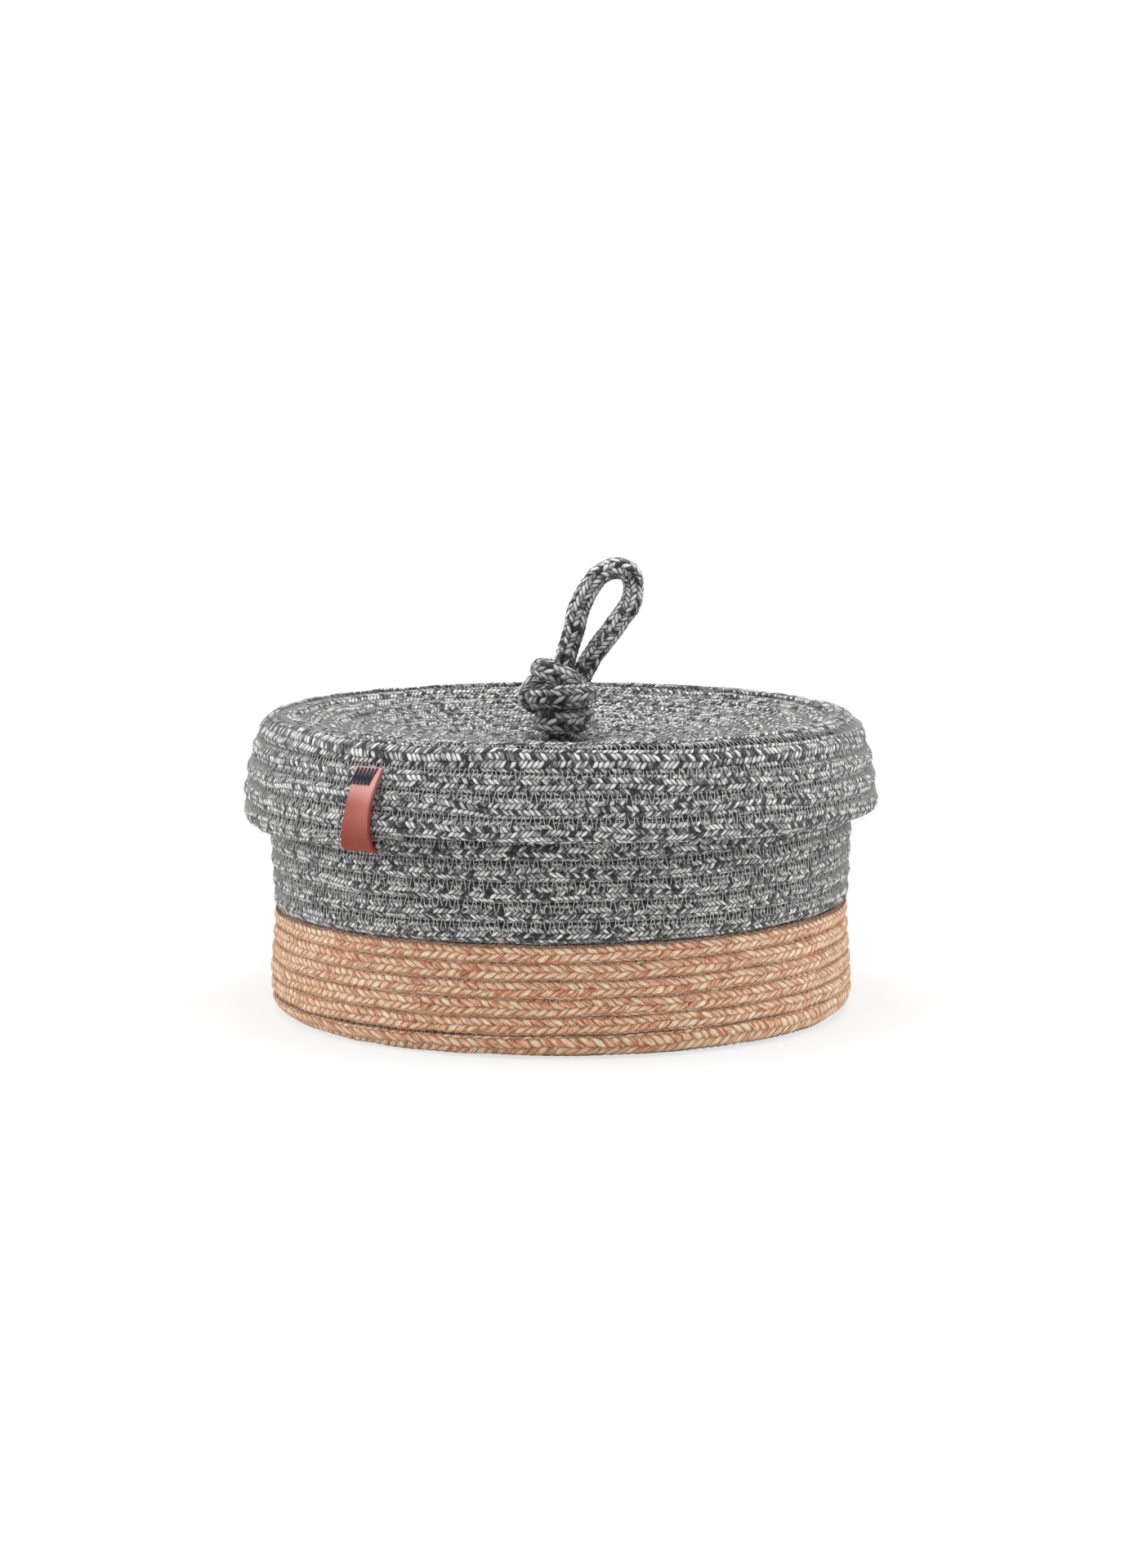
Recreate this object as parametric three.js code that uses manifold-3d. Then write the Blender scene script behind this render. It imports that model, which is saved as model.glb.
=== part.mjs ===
// Lidded rope basket: a low round basket of coiled rope, natural jute below and grey
// heather above, a grey coiled lid with a dished top and a flared skirt that drops over
// the rim, a knotted rope handle through the lid's centre, and a folded leather tab.
// Millimetres, +Z up, the front of the basket towards -Y, origin under the base's centre.
import * as THREE from 'three';
import { mergeVertices } from 'three/addons/utils/BufferGeometryUtils.js';
import Module from 'manifold-3d';

const wasm = await Module();
wasm.setup();

// Ropes and the spacing of their courses
const juteRopeDiameter = 7.4;
const jutePitch = 7.2;
const wallRopeDiameter = 8.2;
const wallPitch = 8.3;
const lidRopeDiameter = 8.7;
const lidPitch = 9.0;
const courseGap = 0.6;
// Half widths of a rope's faces towards the outside and the inside, in half courses
const outerFlat = 0.5;
const innerFlat = 0.25;

// Basket body, radii to the middle of the rope: the belly's, and how far the wall stands
// inside it higher up
const baseCornerRadius = 5.5;
const bellyRadius = 120.3;
const bellyHeight = 20;
const waistInset = 1.7;
const colourChangeHeight = 45.9;
const shoulderInset = 0.5;
const shoulderHeight = 80;
const rimInset = 3.8;
const rimTop = 117.6;
const footClearance = 0.2;
const plateLeadTurns = 1.05;
const ropeChangeAngle = 95;

// Lid
const seatClearance = 0.3;
const dishDepth = 11.6;
const dishPower = 2.5;
const crestRadius = 6.6;
const skirtClearance = 2.3;
const skirtBulgeRadius = 81;
const skirtTopAngle = 22;
const skirtEndAngle = 242.2;
const skirtEndDrop = 37.8;
const taperAngle = 69;
const taperTip = 0.3;
const taperPower = 5;

// Handle: the rope, and the knots' forms in rope diameters
const handleRopeDiameter = 8.7;
const tailClearance = 0.4;
const neckHeight = 3.2;
const knotRise = 3.66;
const lowerWrap = { radius: 0.94, height: 0.74, aside: 0.15, tilt: 3 };
const middleWrap = { radius: 1.2, height: 1.84, aside: 0.08, tilt: -4 };
const upperWrap = { radius: 0.62, height: 2.95, aside: -0.38, tilt: 16 };
const sideWrap = { radius: 0.5, height: 2.1, aside: -1.2, tilt: 80 };
const knotCore = { radius: 1.15, height: 2.75 };
const stopperWrap = { radius: 1.3, height: -0.53, aside: 0, tilt: 0 };
const stopperSecondWrap = { radius: 1.0, height: -1.45, aside: 0.05, tilt: -6 };
const stopperTailLength = 1.5;
const stopperTailSplay = 0.35;
// The loop's route from foot to foot, across and up from the knot's top, in rope diameters
const loopRoute = [
  [0.25, 0], [0.41, 0.55], [0.66, 1.36], [0.82, 2.16], [1.17, 2.97], [1.66, 3.77],
  [2.14, 4.17], [2.74, 4.33], [3.22, 4.21], [3.52, 3.78], [3.54, 3.05], [3.36, 2.47],
  [2.99, 1.98], [2.55, 1.36], [1.93, 0.55], [1.53, 0],
];

// Leather tab and its stitches
const tabAzimuth = 234;
const tabWidth = 16.4;
const tabThickness = 1.5;
const tabTopBelowCrest = 11.2;
const tabInnerLength = 14;
const tabDrop = 3.5;
const threadDiameter = 0.7;
const stitchCount = 6;
const stitchLength = 4.6;
const stitchInset = 1.2;

// Gap between pieces that touch, and the facets of the round forms
const touchGap = 0.3;
const tabClearance = 0.5;
const stepsPerTurn = 22;
const ropeSides = 10;
const wrapSteps = 20;
const loopSteps = 44;
const ballSteps = 16;
const threadSides = 5;
const tabLegSteps = 6;
const tabFoldSteps = 8;
const bodyProfilePoints = 600;
const lidProfilePoints = 800;
// Rings nearer to each other than this share of a step are made as one
const stepTolerance = 0.05;

const degrees = Math.PI / 180;
const stepAngle = 360 / stepsPerTurn;
const halfStep = stepAngle / 2;
// The corners of a turn stand a little outside its true circle and the chords' middles inside
const facetFit = 1 / Math.sqrt(Math.cos(halfStep * degrees));
const chordFit = Math.cos(halfStep * degrees) * facetFit;
// A chord's middle lies behind the tab, so that its legs lie flat on the skirt
const gridAngle = tabAzimuth + halfStep;

const grey = new THREE.MeshStandardMaterial({ color: 0x8f8f8f, roughness: 0.9, metalness: 0 });
const jute = new THREE.MeshStandardMaterial({ color: 0xc79a75, roughness: 0.92, metalness: 0 });
const leather = new THREE.MeshStandardMaterial({ color: 0xb86454, roughness: 0.5, metalness: 0 });
const navyThread = new THREE.MeshStandardMaterial({ color: 0x1c1c3c, roughness: 0.7, metalness: 0 });

const basket = new THREE.Group();

function add(name, geometry, material, parent = basket) {
  const mesh = new THREE.Mesh(geometry, material);
  mesh.name = name;
  parent.add(mesh);
  return mesh;
}

// A profile in the half plane through the axis, measured along its length
function measuredProfile(points) {
  const lengths = [0];
  for (let i = 1; i < points.length; i++) {
    lengths.push(lengths[i - 1] + points[i].distanceTo(points[i - 1]));
  }
  const total = lengths[lengths.length - 1];
  const pointAt = (s) => {
    let i = lengths.findIndex((length) => length > s);
    if (i === -1) i = points.length - 1;
    i = Math.max(1, i);
    const share = (s - lengths[i - 1]) / (lengths[i] - lengths[i - 1]);
    return points[i - 1].clone().lerp(points[i], share);
  };
  const directionAt = (s) => pointAt(s + 1).sub(pointAt(s - 1)).normalize();
  const lengthWhere = (test) => lengths[points.findIndex(test)];
  return { total, pointAt, directionAt, lengthWhere };
}

const waistRadius = bellyRadius - waistInset;
const shoulderRadius = bellyRadius - shoulderInset;
const rimRadius = bellyRadius - rimInset;

// Body profile: flat base, round corner, belly, waist at the colour change, shoulder, rim
const juteHalf = juteRopeDiameter / 2;
const wallHalf = wallRopeDiameter / 2;
const wallCourseHalf = (wallPitch - courseGap) / 2;
const baseMiddle = juteHalf + footClearance;
const cornerCentre = new THREE.Vector2(bellyRadius - baseCornerRadius, baseMiddle + baseCornerRadius);
const rimMiddle = rimTop - wallCourseHalf;
const bodyPath = new THREE.Path();
bodyPath.moveTo(0, baseMiddle);
bodyPath.lineTo(cornerCentre.x, baseMiddle);
bodyPath.absarc(cornerCentre.x, cornerCentre.y, baseCornerRadius, -Math.PI / 2, 0);
bodyPath.splineThru([
  new THREE.Vector2(bellyRadius, bellyHeight),
  new THREE.Vector2(waistRadius, colourChangeHeight),
  new THREE.Vector2(shoulderRadius, shoulderHeight),
  new THREE.Vector2(rimRadius, rimMiddle),
]);
const bodyProfile = measuredProfile(bodyPath.getSpacedPoints(bodyProfilePoints));

// Lid profile: the dished top from its centre out, the rounded crest, the bulged skirt
const lidHalf = lidRopeDiameter / 2;
const skirtRadius = Math.max(shoulderRadius, rimRadius) + wallHalf + skirtClearance + lidHalf;
const dishEdgeAngle = Math.atan((dishDepth * dishPower) / rimRadius);
const skirtLean = skirtTopAngle * degrees;
const crestCentreRadius = skirtRadius - skirtBulgeRadius * (1 - Math.cos(skirtLean))
  - crestRadius * Math.cos(skirtLean);
const crestInner = crestCentreRadius - crestRadius * Math.sin(dishEdgeAngle);
const dishRise = (radius) => dishDepth * (radius / crestInner) ** dishPower;
const dishMiddle = rimTop + seatClearance + lidHalf - dishRise(rimRadius);
const crestCentreHeight = dishMiddle + dishDepth - crestRadius * Math.cos(dishEdgeAngle);
const crestHeight = crestCentreHeight + crestRadius;
const bulgeCentre = new THREE.Vector2(
  skirtRadius - skirtBulgeRadius,
  crestCentreHeight + (crestRadius - skirtBulgeRadius) * Math.sin(skirtLean),
);
const dishPoints = [0, 0.2, 0.4, 0.55, 0.7, 0.8, 0.9, 1].map((share) => {
  const radius = share * crestInner;
  return new THREE.Vector2(radius, dishMiddle + dishRise(radius));
});
const lidPath = new THREE.Path();
lidPath.moveTo(dishPoints[0].x, dishPoints[0].y);
lidPath.splineThru(dishPoints.slice(1));
lidPath.absarc(
  crestCentreRadius, crestCentreHeight, crestRadius, Math.PI / 2 + dishEdgeAngle, skirtLean, true,
);
lidPath.absarc(bulgeCentre.x, bulgeCentre.y, skirtBulgeRadius, skirtLean, 0, true);
lidPath.lineTo(skirtRadius, bulgeCentre.y - 2 * lidPitch);
const lidProfile = measuredProfile(lidPath.getSpacedPoints(lidProfilePoints));

// One rope wound on a profile: s is the length along the profile, and one turn moves it on
// by the pitch. Rings stand on a common grid of angles, so that neighbouring turns have
// parallel chords. Each ring is a hexagon with its corners towards the neighbouring turns.
function windRope({
  profile, pitch, half, startAngle, startS, turns, outside = 1, taper = () => 1,
}) {
  const endAngle = startAngle + 360 * turns;
  const angles = [startAngle];
  let next = gridAngle
    + stepAngle * Math.ceil((startAngle - gridAngle) / stepAngle + stepTolerance);
  for (; next < endAngle - stepTolerance * stepAngle; next += stepAngle) angles.push(next);
  angles.push(endAngle);
  const flatHalf = (pitch - courseGap) / 2;
  const [farFlat, nearFlat] = outside > 0 ? [outerFlat, innerFlat] : [innerFlat, outerFlat];
  const corners = [
    [1, farFlat], [0, 1], [-1, nearFlat], [-1, -nearFlat], [0, -1], [1, -farFlat],
  ];
  const rings = angles.map((angle) => {
    const scale = taper(angle);
    const offGrid = (((angle - gridAngle) / stepAngle) % 1 + 1) % 1;
    const fromChordMiddle = Math.abs(offGrid - 0.5) * stepAngle;
    const fit = chordFit / Math.cos(fromChordMiddle * degrees);
    const s = startS + (pitch * (angle - startAngle)) / 360 - (pitch / 2) * (1 - scale);
    const centre = profile.pointAt(s);
    const along = profile.directionAt(s);
    return corners.map(([out, side]) => {
      const radius = centre.x + scale * (out * half * along.y + side * flatHalf * along.x);
      const height = centre.y + scale * (-out * half * along.x + side * flatHalf * along.y);
      return new THREE.Vector3(
        radius * fit * Math.cos(angle * degrees), radius * fit * Math.sin(angle * degrees), height,
      );
    });
  });
  return { rings, angles };
}

// The least distance between points on one turn's ring edges and those of the next turn
function leastGap({ rings, angles }) {
  const window = 15;
  const samples = (ring) => ring.flatMap((corner, i) => {
    const next = ring[(i + 1) % ring.length];
    return [0, 0.25, 0.5, 0.75].map((share) => corner.clone().lerp(next, share));
  });
  let least = Infinity;
  for (let i = 0; i < rings.length; i++) {
    const from = samples(rings[i]);
    for (let k = i + 1; k < rings.length; k++) {
      if (Math.abs(angles[k] - angles[i] - 360) > window) continue;
      for (const a of from) {
        for (const b of samples(rings[k])) least = Math.min(least, a.distanceTo(b));
      }
    }
  }
  return least;
}

function ropeGeometry({ rings }) {
  const sides = rings[0].length;
  const positions = rings.flat().flatMap((corner) => corner.toArray());
  const index = [];
  for (let i = 0; i < rings.length - 1; i++) {
    for (let k = 0; k < sides; k++) {
      const a = i * sides + k;
      const b = i * sides + ((k + 1) % sides);
      index.push(a, a + sides, b, b, a + sides, b + sides);
    }
  }
  const last = (rings.length - 1) * sides;
  for (let k = 1; k < sides - 1; k++) {
    index.push(0, k, k + 1);
    index.push(last, last + k + 1, last + k);
  }
  const geometry = new THREE.BufferGeometry();
  geometry.setAttribute('position', new THREE.Float32BufferAttribute(positions, 3));
  geometry.setIndex(index);
  return geometry;
}

function addCoil(name, coil, material, parent) {
  console.log(`${name}: least gap between turns ${leastGap(coil).toFixed(2)} mm`);
  return add(name, ropeGeometry(coil), material, parent);
}

// Solids for joining and cutting
function solidOf(geometry) {
  const bare = geometry.clone();
  bare.deleteAttribute('normal');
  bare.deleteAttribute('uv');
  const merged = mergeVertices(bare, 1e-4);
  return new wasm.Manifold(new wasm.Mesh({
    numProp: 3,
    vertProperties: new Float32Array(merged.attributes.position.array),
    triVerts: new Uint32Array(merged.index.array),
  }));
}

function geometryOf(solid) {
  const mesh = solid.getMesh();
  const geometry = new THREE.BufferGeometry();
  geometry.setAttribute('position', new THREE.BufferAttribute(mesh.vertProperties, 3));
  geometry.setIndex(new THREE.BufferAttribute(mesh.triVerts, 1));
  return geometry;
}

function ropeSection(diameter, sides = ropeSides) {
  const section = new THREE.Shape();
  for (let k = 0; k < sides; k++) {
    const angle = (2 * Math.PI * (k + 0.5)) / sides;
    const x = (diameter / 2) * Math.cos(angle);
    const y = (diameter / 2) * Math.sin(angle);
    if (k === 0) section.moveTo(x, y);
    else section.lineTo(x, y);
  }
  section.closePath();
  return section;
}

function ropeAlong(points, diameter, steps, sides = ropeSides) {
  const path = new THREE.CatmullRomCurve3(points, false, 'centripetal');
  return new THREE.ExtrudeGeometry(ropeSection(diameter, sides), { steps, extrudePath: path });
}

// A ring of the handle's rope, tilted about Y, round a point
function ropeRing(radius, centre, tilt) {
  const ring = new THREE.TorusGeometry(radius, handleRopeDiameter / 2, ropeSides, wrapSteps);
  ring.rotateY(tilt * degrees);
  ring.translate(centre.x, centre.y, centre.z);
  return ring;
}

// Basket body: the jute rope starts on the flat of the base, on a grid angle
const changeS = bodyProfile.lengthWhere((point) => point.y >= colourChangeHeight);
const leadS = cornerCentre.x - plateLeadTurns * jutePitch;
const wantedTurns = (changeS - leadS) / jutePitch;
const startSteps = Math.round((ropeChangeAngle - 360 * wantedTurns - gridAngle) / stepAngle);
const juteStartAngle = gridAngle + stepAngle * startSteps;
const juteTurns = (ropeChangeAngle - juteStartAngle) / 360;
const juteCoil = windRope({
  profile: bodyProfile, pitch: jutePitch, half: juteHalf,
  startAngle: juteStartAngle, startS: changeS - juteTurns * jutePitch, turns: juteTurns,
});
addCoil('jute_wall_coil', juteCoil, jute, basket);

// The grey rope goes on where the jute rope ends, a share of a course higher as its
// courses are taller
const seamGapAngle = (2 * touchGap) / (waistRadius * degrees);
const greyStartS = changeS + (wallPitch - jutePitch) / 2;
addCoil('grey_wall_coil', windRope({
  profile: bodyProfile, pitch: wallPitch, half: wallHalf,
  startAngle: ropeChangeAngle + seamGapAngle, startS: greyStartS,
  turns: (bodyProfile.total - greyStartS) / wallPitch,
}), grey, basket);

// The base plate ends in a spiral edge that the jute rope's first turn lies against, with
// a step in front of that rope's end
function basePlate() {
  const edge = juteCoil.rings.slice(0, stepsPerTurn + 1).map((ring) => ring[4]);
  const pullBack = touchGap / edge[0].distanceTo(edge[1]);
  const last = edge.pop();
  edge.push(last.clone().lerp(edge[edge.length - 1], pullBack));
  edge.push(edge[0].clone().lerp(edge[1], -pullBack));
  const outline = edge.map((point) => {
    const inward = 1 - touchGap / Math.hypot(point.x, point.y);
    return new THREE.Vector2(point.x * inward, point.y * inward);
  });
  const shape = new THREE.Shape(outline);
  return new THREE.ExtrudeGeometry(shape, { depth: juteRopeDiameter, bevelEnabled: false });
}
add('base_plate', basePlate(), jute);

// Lid: one rope from the hole in the middle of the dish out over the crest and down the
// skirt, made as a top and a skirt that meet end to end on the crest
const lid = new THREE.Group();
basket.add(lid);
const tailSpacing = handleRopeDiameter + touchGap;
const holeRadius = tailSpacing / 2 + handleRopeDiameter / 2 + tailClearance;
const lidStartS = holeRadius + lidHalf;
const skirtEndHeight = crestHeight - skirtEndDrop;
const onSkirtAt = (height) => lidProfile.lengthWhere(
  (point) => point.x > crestInner && point.y <= height,
);
const lidEndS = onSkirtAt(skirtEndHeight);
const lidTurns = (lidEndS - lidStartS) / lidPitch;
const lidStartAngle = skirtEndAngle - 360 * lidTurns;
const crestS = lidProfile.lengthWhere((point) => point.x >= crestCentreRadius);
const crestSteps = Math.round(
  (lidStartAngle + (360 * (crestS - lidStartS)) / lidPitch - gridAngle) / stepAngle,
);
const crestAngle = gridAngle + stepAngle * (crestSteps + 0.5);
const crestTurns = (crestAngle - lidStartAngle) / 360;
const lidWinding = { profile: lidProfile, pitch: lidPitch, half: lidHalf, outside: -1 };
addCoil('lid_top_coil', windRope({
  ...lidWinding, startAngle: lidStartAngle, startS: lidStartS, turns: crestTurns,
}), grey, lid);

const crestGapTurns = touchGap / (2 * Math.PI * crestInner);
const tapered = (angle) => {
  const share = 1 + (angle - skirtEndAngle) / taperAngle;
  return share <= 0 ? 1 : Math.max(taperTip, 1 - share ** taperPower);
};
const skirtCoil = windRope({
  ...lidWinding, startAngle: crestAngle + 360 * crestGapTurns,
  startS: lidStartS + lidPitch * (crestTurns + crestGapTurns),
  turns: lidTurns - crestTurns - crestGapTurns, taper: tapered,
});
addCoil('lid_skirt_coil', skirtCoil, grey, lid);

// Handle: two tails through the lid, a knot above it, a stopper knot below it, and a loop
const handleHalf = handleRopeDiameter / 2;
const dishTop = dishMiddle + lidHalf;
const dishUnderside = dishMiddle - lidHalf;
const knotBottom = dishTop + neckHeight;
const hingeHeight = knotBottom + knotRise * handleRopeDiameter;

function wrapRing(wrap, from) {
  const centre = new THREE.Vector3(
    wrap.aside * handleRopeDiameter, 0, from + wrap.height * handleRopeDiameter,
  );
  return solidOf(ropeRing(wrap.radius * handleRopeDiameter, centre, wrap.tilt));
}

function upright(radius, bottom, top) {
  const core = new THREE.CylinderGeometry(radius, radius, top - bottom, wrapSteps);
  core.rotateX(Math.PI / 2);
  core.translate(0, 0, (bottom + top) / 2);
  return solidOf(core);
}

const loopPoint = ([across, up]) => new THREE.Vector3(
  across * handleRopeDiameter, 0, hingeHeight + up * handleRopeDiameter,
);
const leftFoot = loopPoint(loopRoute[0]);
const rightFoot = loopPoint(loopRoute[loopRoute.length - 1]);

function footBall(foot, radius) {
  const ball = new THREE.SphereGeometry(radius, ballSteps, 0.75 * ballSteps);
  ball.translate(foot.x, foot.y, foot.z);
  return solidOf(ball);
}

function handleKnot() {
  const coreTop = knotBottom + knotCore.height * handleRopeDiameter;
  let knot = upright(knotCore.radius * handleRopeDiameter, knotBottom, coreTop);
  for (const wrap of [lowerWrap, middleWrap, upperWrap, sideWrap]) {
    knot = knot.add(wrapRing(wrap, knotBottom));
  }
  const root = knotBottom + middleWrap.height * handleRopeDiameter;
  for (const foot of [leftFoot, rightFoot]) {
    const from = new THREE.Vector3(foot.x / 2, 0, root);
    knot = knot.add(solidOf(ropeAlong([from, foot], handleRopeDiameter, 1)));
  }
  for (const foot of [leftFoot, rightFoot]) {
    knot = knot.subtract(footBall(foot, handleHalf + touchGap));
  }
  return geometryOf(knot);
}
add('handle_knot', handleKnot(), grey, lid);

function handleLoop() {
  let loop = solidOf(ropeAlong(loopRoute.map(loopPoint), handleRopeDiameter, loopSteps));
  for (const foot of [leftFoot, rightFoot]) {
    loop = loop.add(footBall(foot, handleHalf));
  }
  return geometryOf(loop);
}
const loopHinge = new THREE.Group();
lid.add(loopHinge);
add('handle_loop', handleLoop(), grey, loopHinge);

function stopperKnot() {
  const top = dishUnderside - touchGap;
  let knot = wrapRing(stopperWrap, top);
  knot = knot.add(wrapRing(stopperSecondWrap, top));
  const middle = top + stopperSecondWrap.height * handleRopeDiameter;
  knot = knot.add(upright(stopperSecondWrap.radius * handleRopeDiameter, middle, top - touchGap));
  for (const side of [-1, 1]) {
    const start = new THREE.Vector3(side * handleHalf, 0, middle);
    const end = new THREE.Vector3(
      side * (handleHalf + stopperTailSplay * handleRopeDiameter), 0,
      middle - stopperTailLength * handleRopeDiameter,
    );
    knot = knot.add(solidOf(ropeAlong([start, end], handleRopeDiameter, 1)));
  }
  return geometryOf(knot);
}
add('stopper_knot', stopperKnot(), grey, lid);

for (const [side, sign] of [['left', -1], ['right', 1]]) {
  const bottom = dishUnderside - touchGap;
  const x = (sign * tailSpacing) / 2;
  const ends = [new THREE.Vector3(x, 0, bottom), new THREE.Vector3(x, 0, knotBottom - touchGap)];
  add(`handle_tail_${side}`, ropeAlong(ends, handleRopeDiameter, 1), grey, lid);
}

// Leather tab: a strip folded under the skirt's lower edge, one leg outside, one inside
const crestTop = crestHeight + lidHalf;
const tabTop = crestTop - tabTopBelowCrest;
const skirtRadiusAt = (height) => lidProfile.pointAt(onSkirtAt(height)).x;
const legOffSkirt = tabClearance + tabThickness / 2;
const outerLeg = (height) => (skirtRadiusAt(height) + lidHalf) * chordFit + legOffSkirt;
const innerLeg = (height) => (skirtRadiusAt(height) - lidHalf) * chordFit - legOffSkirt;
const tabShare = (skirtEndAngle - tabAzimuth) / 360;
const tabCourseScale = tapered(tabAzimuth);
const tabCourseMiddle = skirtEndHeight + lidPitch * (tabShare + (1 - tabCourseScale) / 2);
const tabCourseEdge = tabCourseMiddle - (tabCourseScale * lidPitch) / 2;
const tabFoldRadius = (outerLeg(bulgeCentre.y) - innerLeg(bulgeCentre.y)) / 2;
const tabFoldMiddle = (outerLeg(bulgeCentre.y) + innerLeg(bulgeCentre.y)) / 2;
const tabFoldHeight = tabCourseEdge - tabDrop + tabFoldRadius + tabThickness / 2;

function tabStrip() {
  const heights = (from, to) => Array.from(
    { length: tabLegSteps + 1 }, (_, i) => from + ((to - from) * i) / tabLegSteps,
  );
  const side = (offset) => {
    const outer = heights(tabTop, tabFoldHeight).map((z) => [outerLeg(z) + offset, z]);
    const fold = [];
    for (let i = 1; i < tabFoldSteps; i++) {
      const angle = (-Math.PI * i) / tabFoldSteps;
      const radius = tabFoldRadius + offset;
      fold.push([
        tabFoldMiddle + radius * Math.cos(angle), tabFoldHeight + radius * Math.sin(angle),
      ]);
    }
    const inner = heights(tabFoldHeight, tabFoldHeight + tabInnerLength)
      .map((z) => [innerLeg(z) - offset, z]);
    return [...outer, ...fold, ...inner];
  };
  const outline = [...side(tabThickness / 2), ...side(-tabThickness / 2).reverse()];
  const shape = new THREE.Shape(outline.map(([r, z]) => new THREE.Vector2(r, z)));
  return new THREE.ExtrudeGeometry(shape, { depth: tabWidth, bevelEnabled: false });
}

// Turns geometry made in (out from the axis, up, across) to the tab's azimuth
function atTab(geometry) {
  const angle = tabAzimuth * degrees;
  const out = new THREE.Vector3(Math.cos(angle), Math.sin(angle), 0);
  const up = new THREE.Vector3(0, 0, 1);
  const across = new THREE.Vector3().crossVectors(out, up);
  return geometry.applyMatrix4(new THREE.Matrix4().makeBasis(out, up, across));
}
const strip = tabStrip();
strip.translate(0, 0, -tabWidth / 2);
add('leather_tab', atTab(strip), leather, lid);

function tabStitches() {
  const points = [];
  const run = tabWidth - 2 * stitchInset;
  for (let i = 0; i <= 2 * stitchCount; i++) {
    const z = tabTop - stitchInset / 2 - (i % 2 ? 0 : stitchLength);
    const out = outerLeg(z) + tabThickness / 2 + touchGap + threadDiameter / 2;
    points.push(new THREE.Vector3(out, z, -run / 2 + (run * i) / (2 * stitchCount)));
  }
  return ropeAlong(points, threadDiameter, 8 * stitchCount, threadSides);
}
add('tab_stitches', atTab(tabStitches()), navyThread, lid);

export default basket;
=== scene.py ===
"""A lidded basket of coiled rope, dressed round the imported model.

Natural jute rope below and grey heather rope above, sewn course to course with a zigzag
thread; a dished lid of the same grey rope with a flared skirt, a knotted rope handle and a
folded leather tab. Metres, +Z up, the front towards -Y.
"""
import math

import bmesh
import bpy
import numpy as np
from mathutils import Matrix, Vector


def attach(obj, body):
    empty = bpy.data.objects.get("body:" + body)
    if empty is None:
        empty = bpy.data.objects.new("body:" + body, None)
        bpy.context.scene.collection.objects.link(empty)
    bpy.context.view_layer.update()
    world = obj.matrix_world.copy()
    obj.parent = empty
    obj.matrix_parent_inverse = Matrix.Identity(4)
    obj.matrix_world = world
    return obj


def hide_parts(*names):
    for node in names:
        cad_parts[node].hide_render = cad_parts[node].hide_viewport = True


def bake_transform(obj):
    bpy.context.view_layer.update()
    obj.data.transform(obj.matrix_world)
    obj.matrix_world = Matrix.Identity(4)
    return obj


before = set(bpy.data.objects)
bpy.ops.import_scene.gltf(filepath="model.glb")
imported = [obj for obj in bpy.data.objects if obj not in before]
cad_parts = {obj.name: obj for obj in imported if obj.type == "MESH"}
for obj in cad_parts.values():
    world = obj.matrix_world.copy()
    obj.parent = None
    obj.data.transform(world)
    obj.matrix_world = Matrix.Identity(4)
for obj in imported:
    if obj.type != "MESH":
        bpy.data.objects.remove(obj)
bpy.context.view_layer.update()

bl_info = {
    "name": "Coiled rope basket",
    "version": (1, 0, 0),
    "blender": (4, 5, 0),
    "location": "3D View > Sidebar > Rope basket",
    "description": "Builds a lidded basket of coiled, sewn rope",
    "category": "Add Mesh",
}

MM = 0.001
FULL_TURN = 2 * math.pi
WHITE = (1, 1, 1, 1)
# Rings of a rope lie this far apart, and no mesh has more triangles than this
ALONG_ROPE = 1.15 * MM
LARGEST_MESH = 170000
# How far a braid's strands float over each other, as a share of their height
BRAID_DEPTH = 0.7
# How far round the rope the painted shade of a groove is darkest, from the middle of the groove
GROOVE_LEAN = 0.018
# Clearance of every rope and thread over the floor
OVER_FLOOR = 0.05 * MM
# Sides and ring distance of the handle's rope, and the depth of its braid
HANDLE_SIDES, HANDLE_STEP, HANDLE_RELIEF = 60, 0.6 * MM, 0.42 * MM
THREAD_SIDES = 3
FIBRE_RINGS = 5
# Noise cells per metre along a rope: its unevenness, and its yarns, strands and fibres
UNEVEN_CELLS, YARN_CELLS, STRAND_CELLS, FIBRE_CELLS = 130, 240, 230, 260
# Noise cells round a rope, and from one yarn or strand to the next one
CELLS_ROUND, YARN_APART, STRAND_APART = 9, 7.31, 5.13


def length(name, description, default, **more):
    """A size in metres, stated in millimetres."""
    return bpy.props.FloatProperty(
        name=name, description=description, default=default * MM, unit="LENGTH", precision=4,
        **more
    )


def plain(name, description, default, **more):
    return bpy.props.FloatProperty(name=name, description=description, default=default, **more)


def turn(name, description, default):
    """An angle, stated in degrees."""
    return bpy.props.FloatProperty(
        name=name, description=description, default=math.radians(default), unit="ROTATION"
    )


def colour(name, description, default):
    """A colour, stated as its sRGB values from 0 to 255."""
    linear = [srgb_to_linear(value / 255) for value in default]
    return bpy.props.FloatVectorProperty(
        name=name, description=description, default=linear, subtype="COLOR", size=3, min=0, max=1
    )


def srgb_to_linear(value):
    return value / 12.92 if value <= 0.04045 else ((value + 0.055) / 1.055) ** 2.4


# ---- sizes and colours -------------------------------------------------------------------


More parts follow.
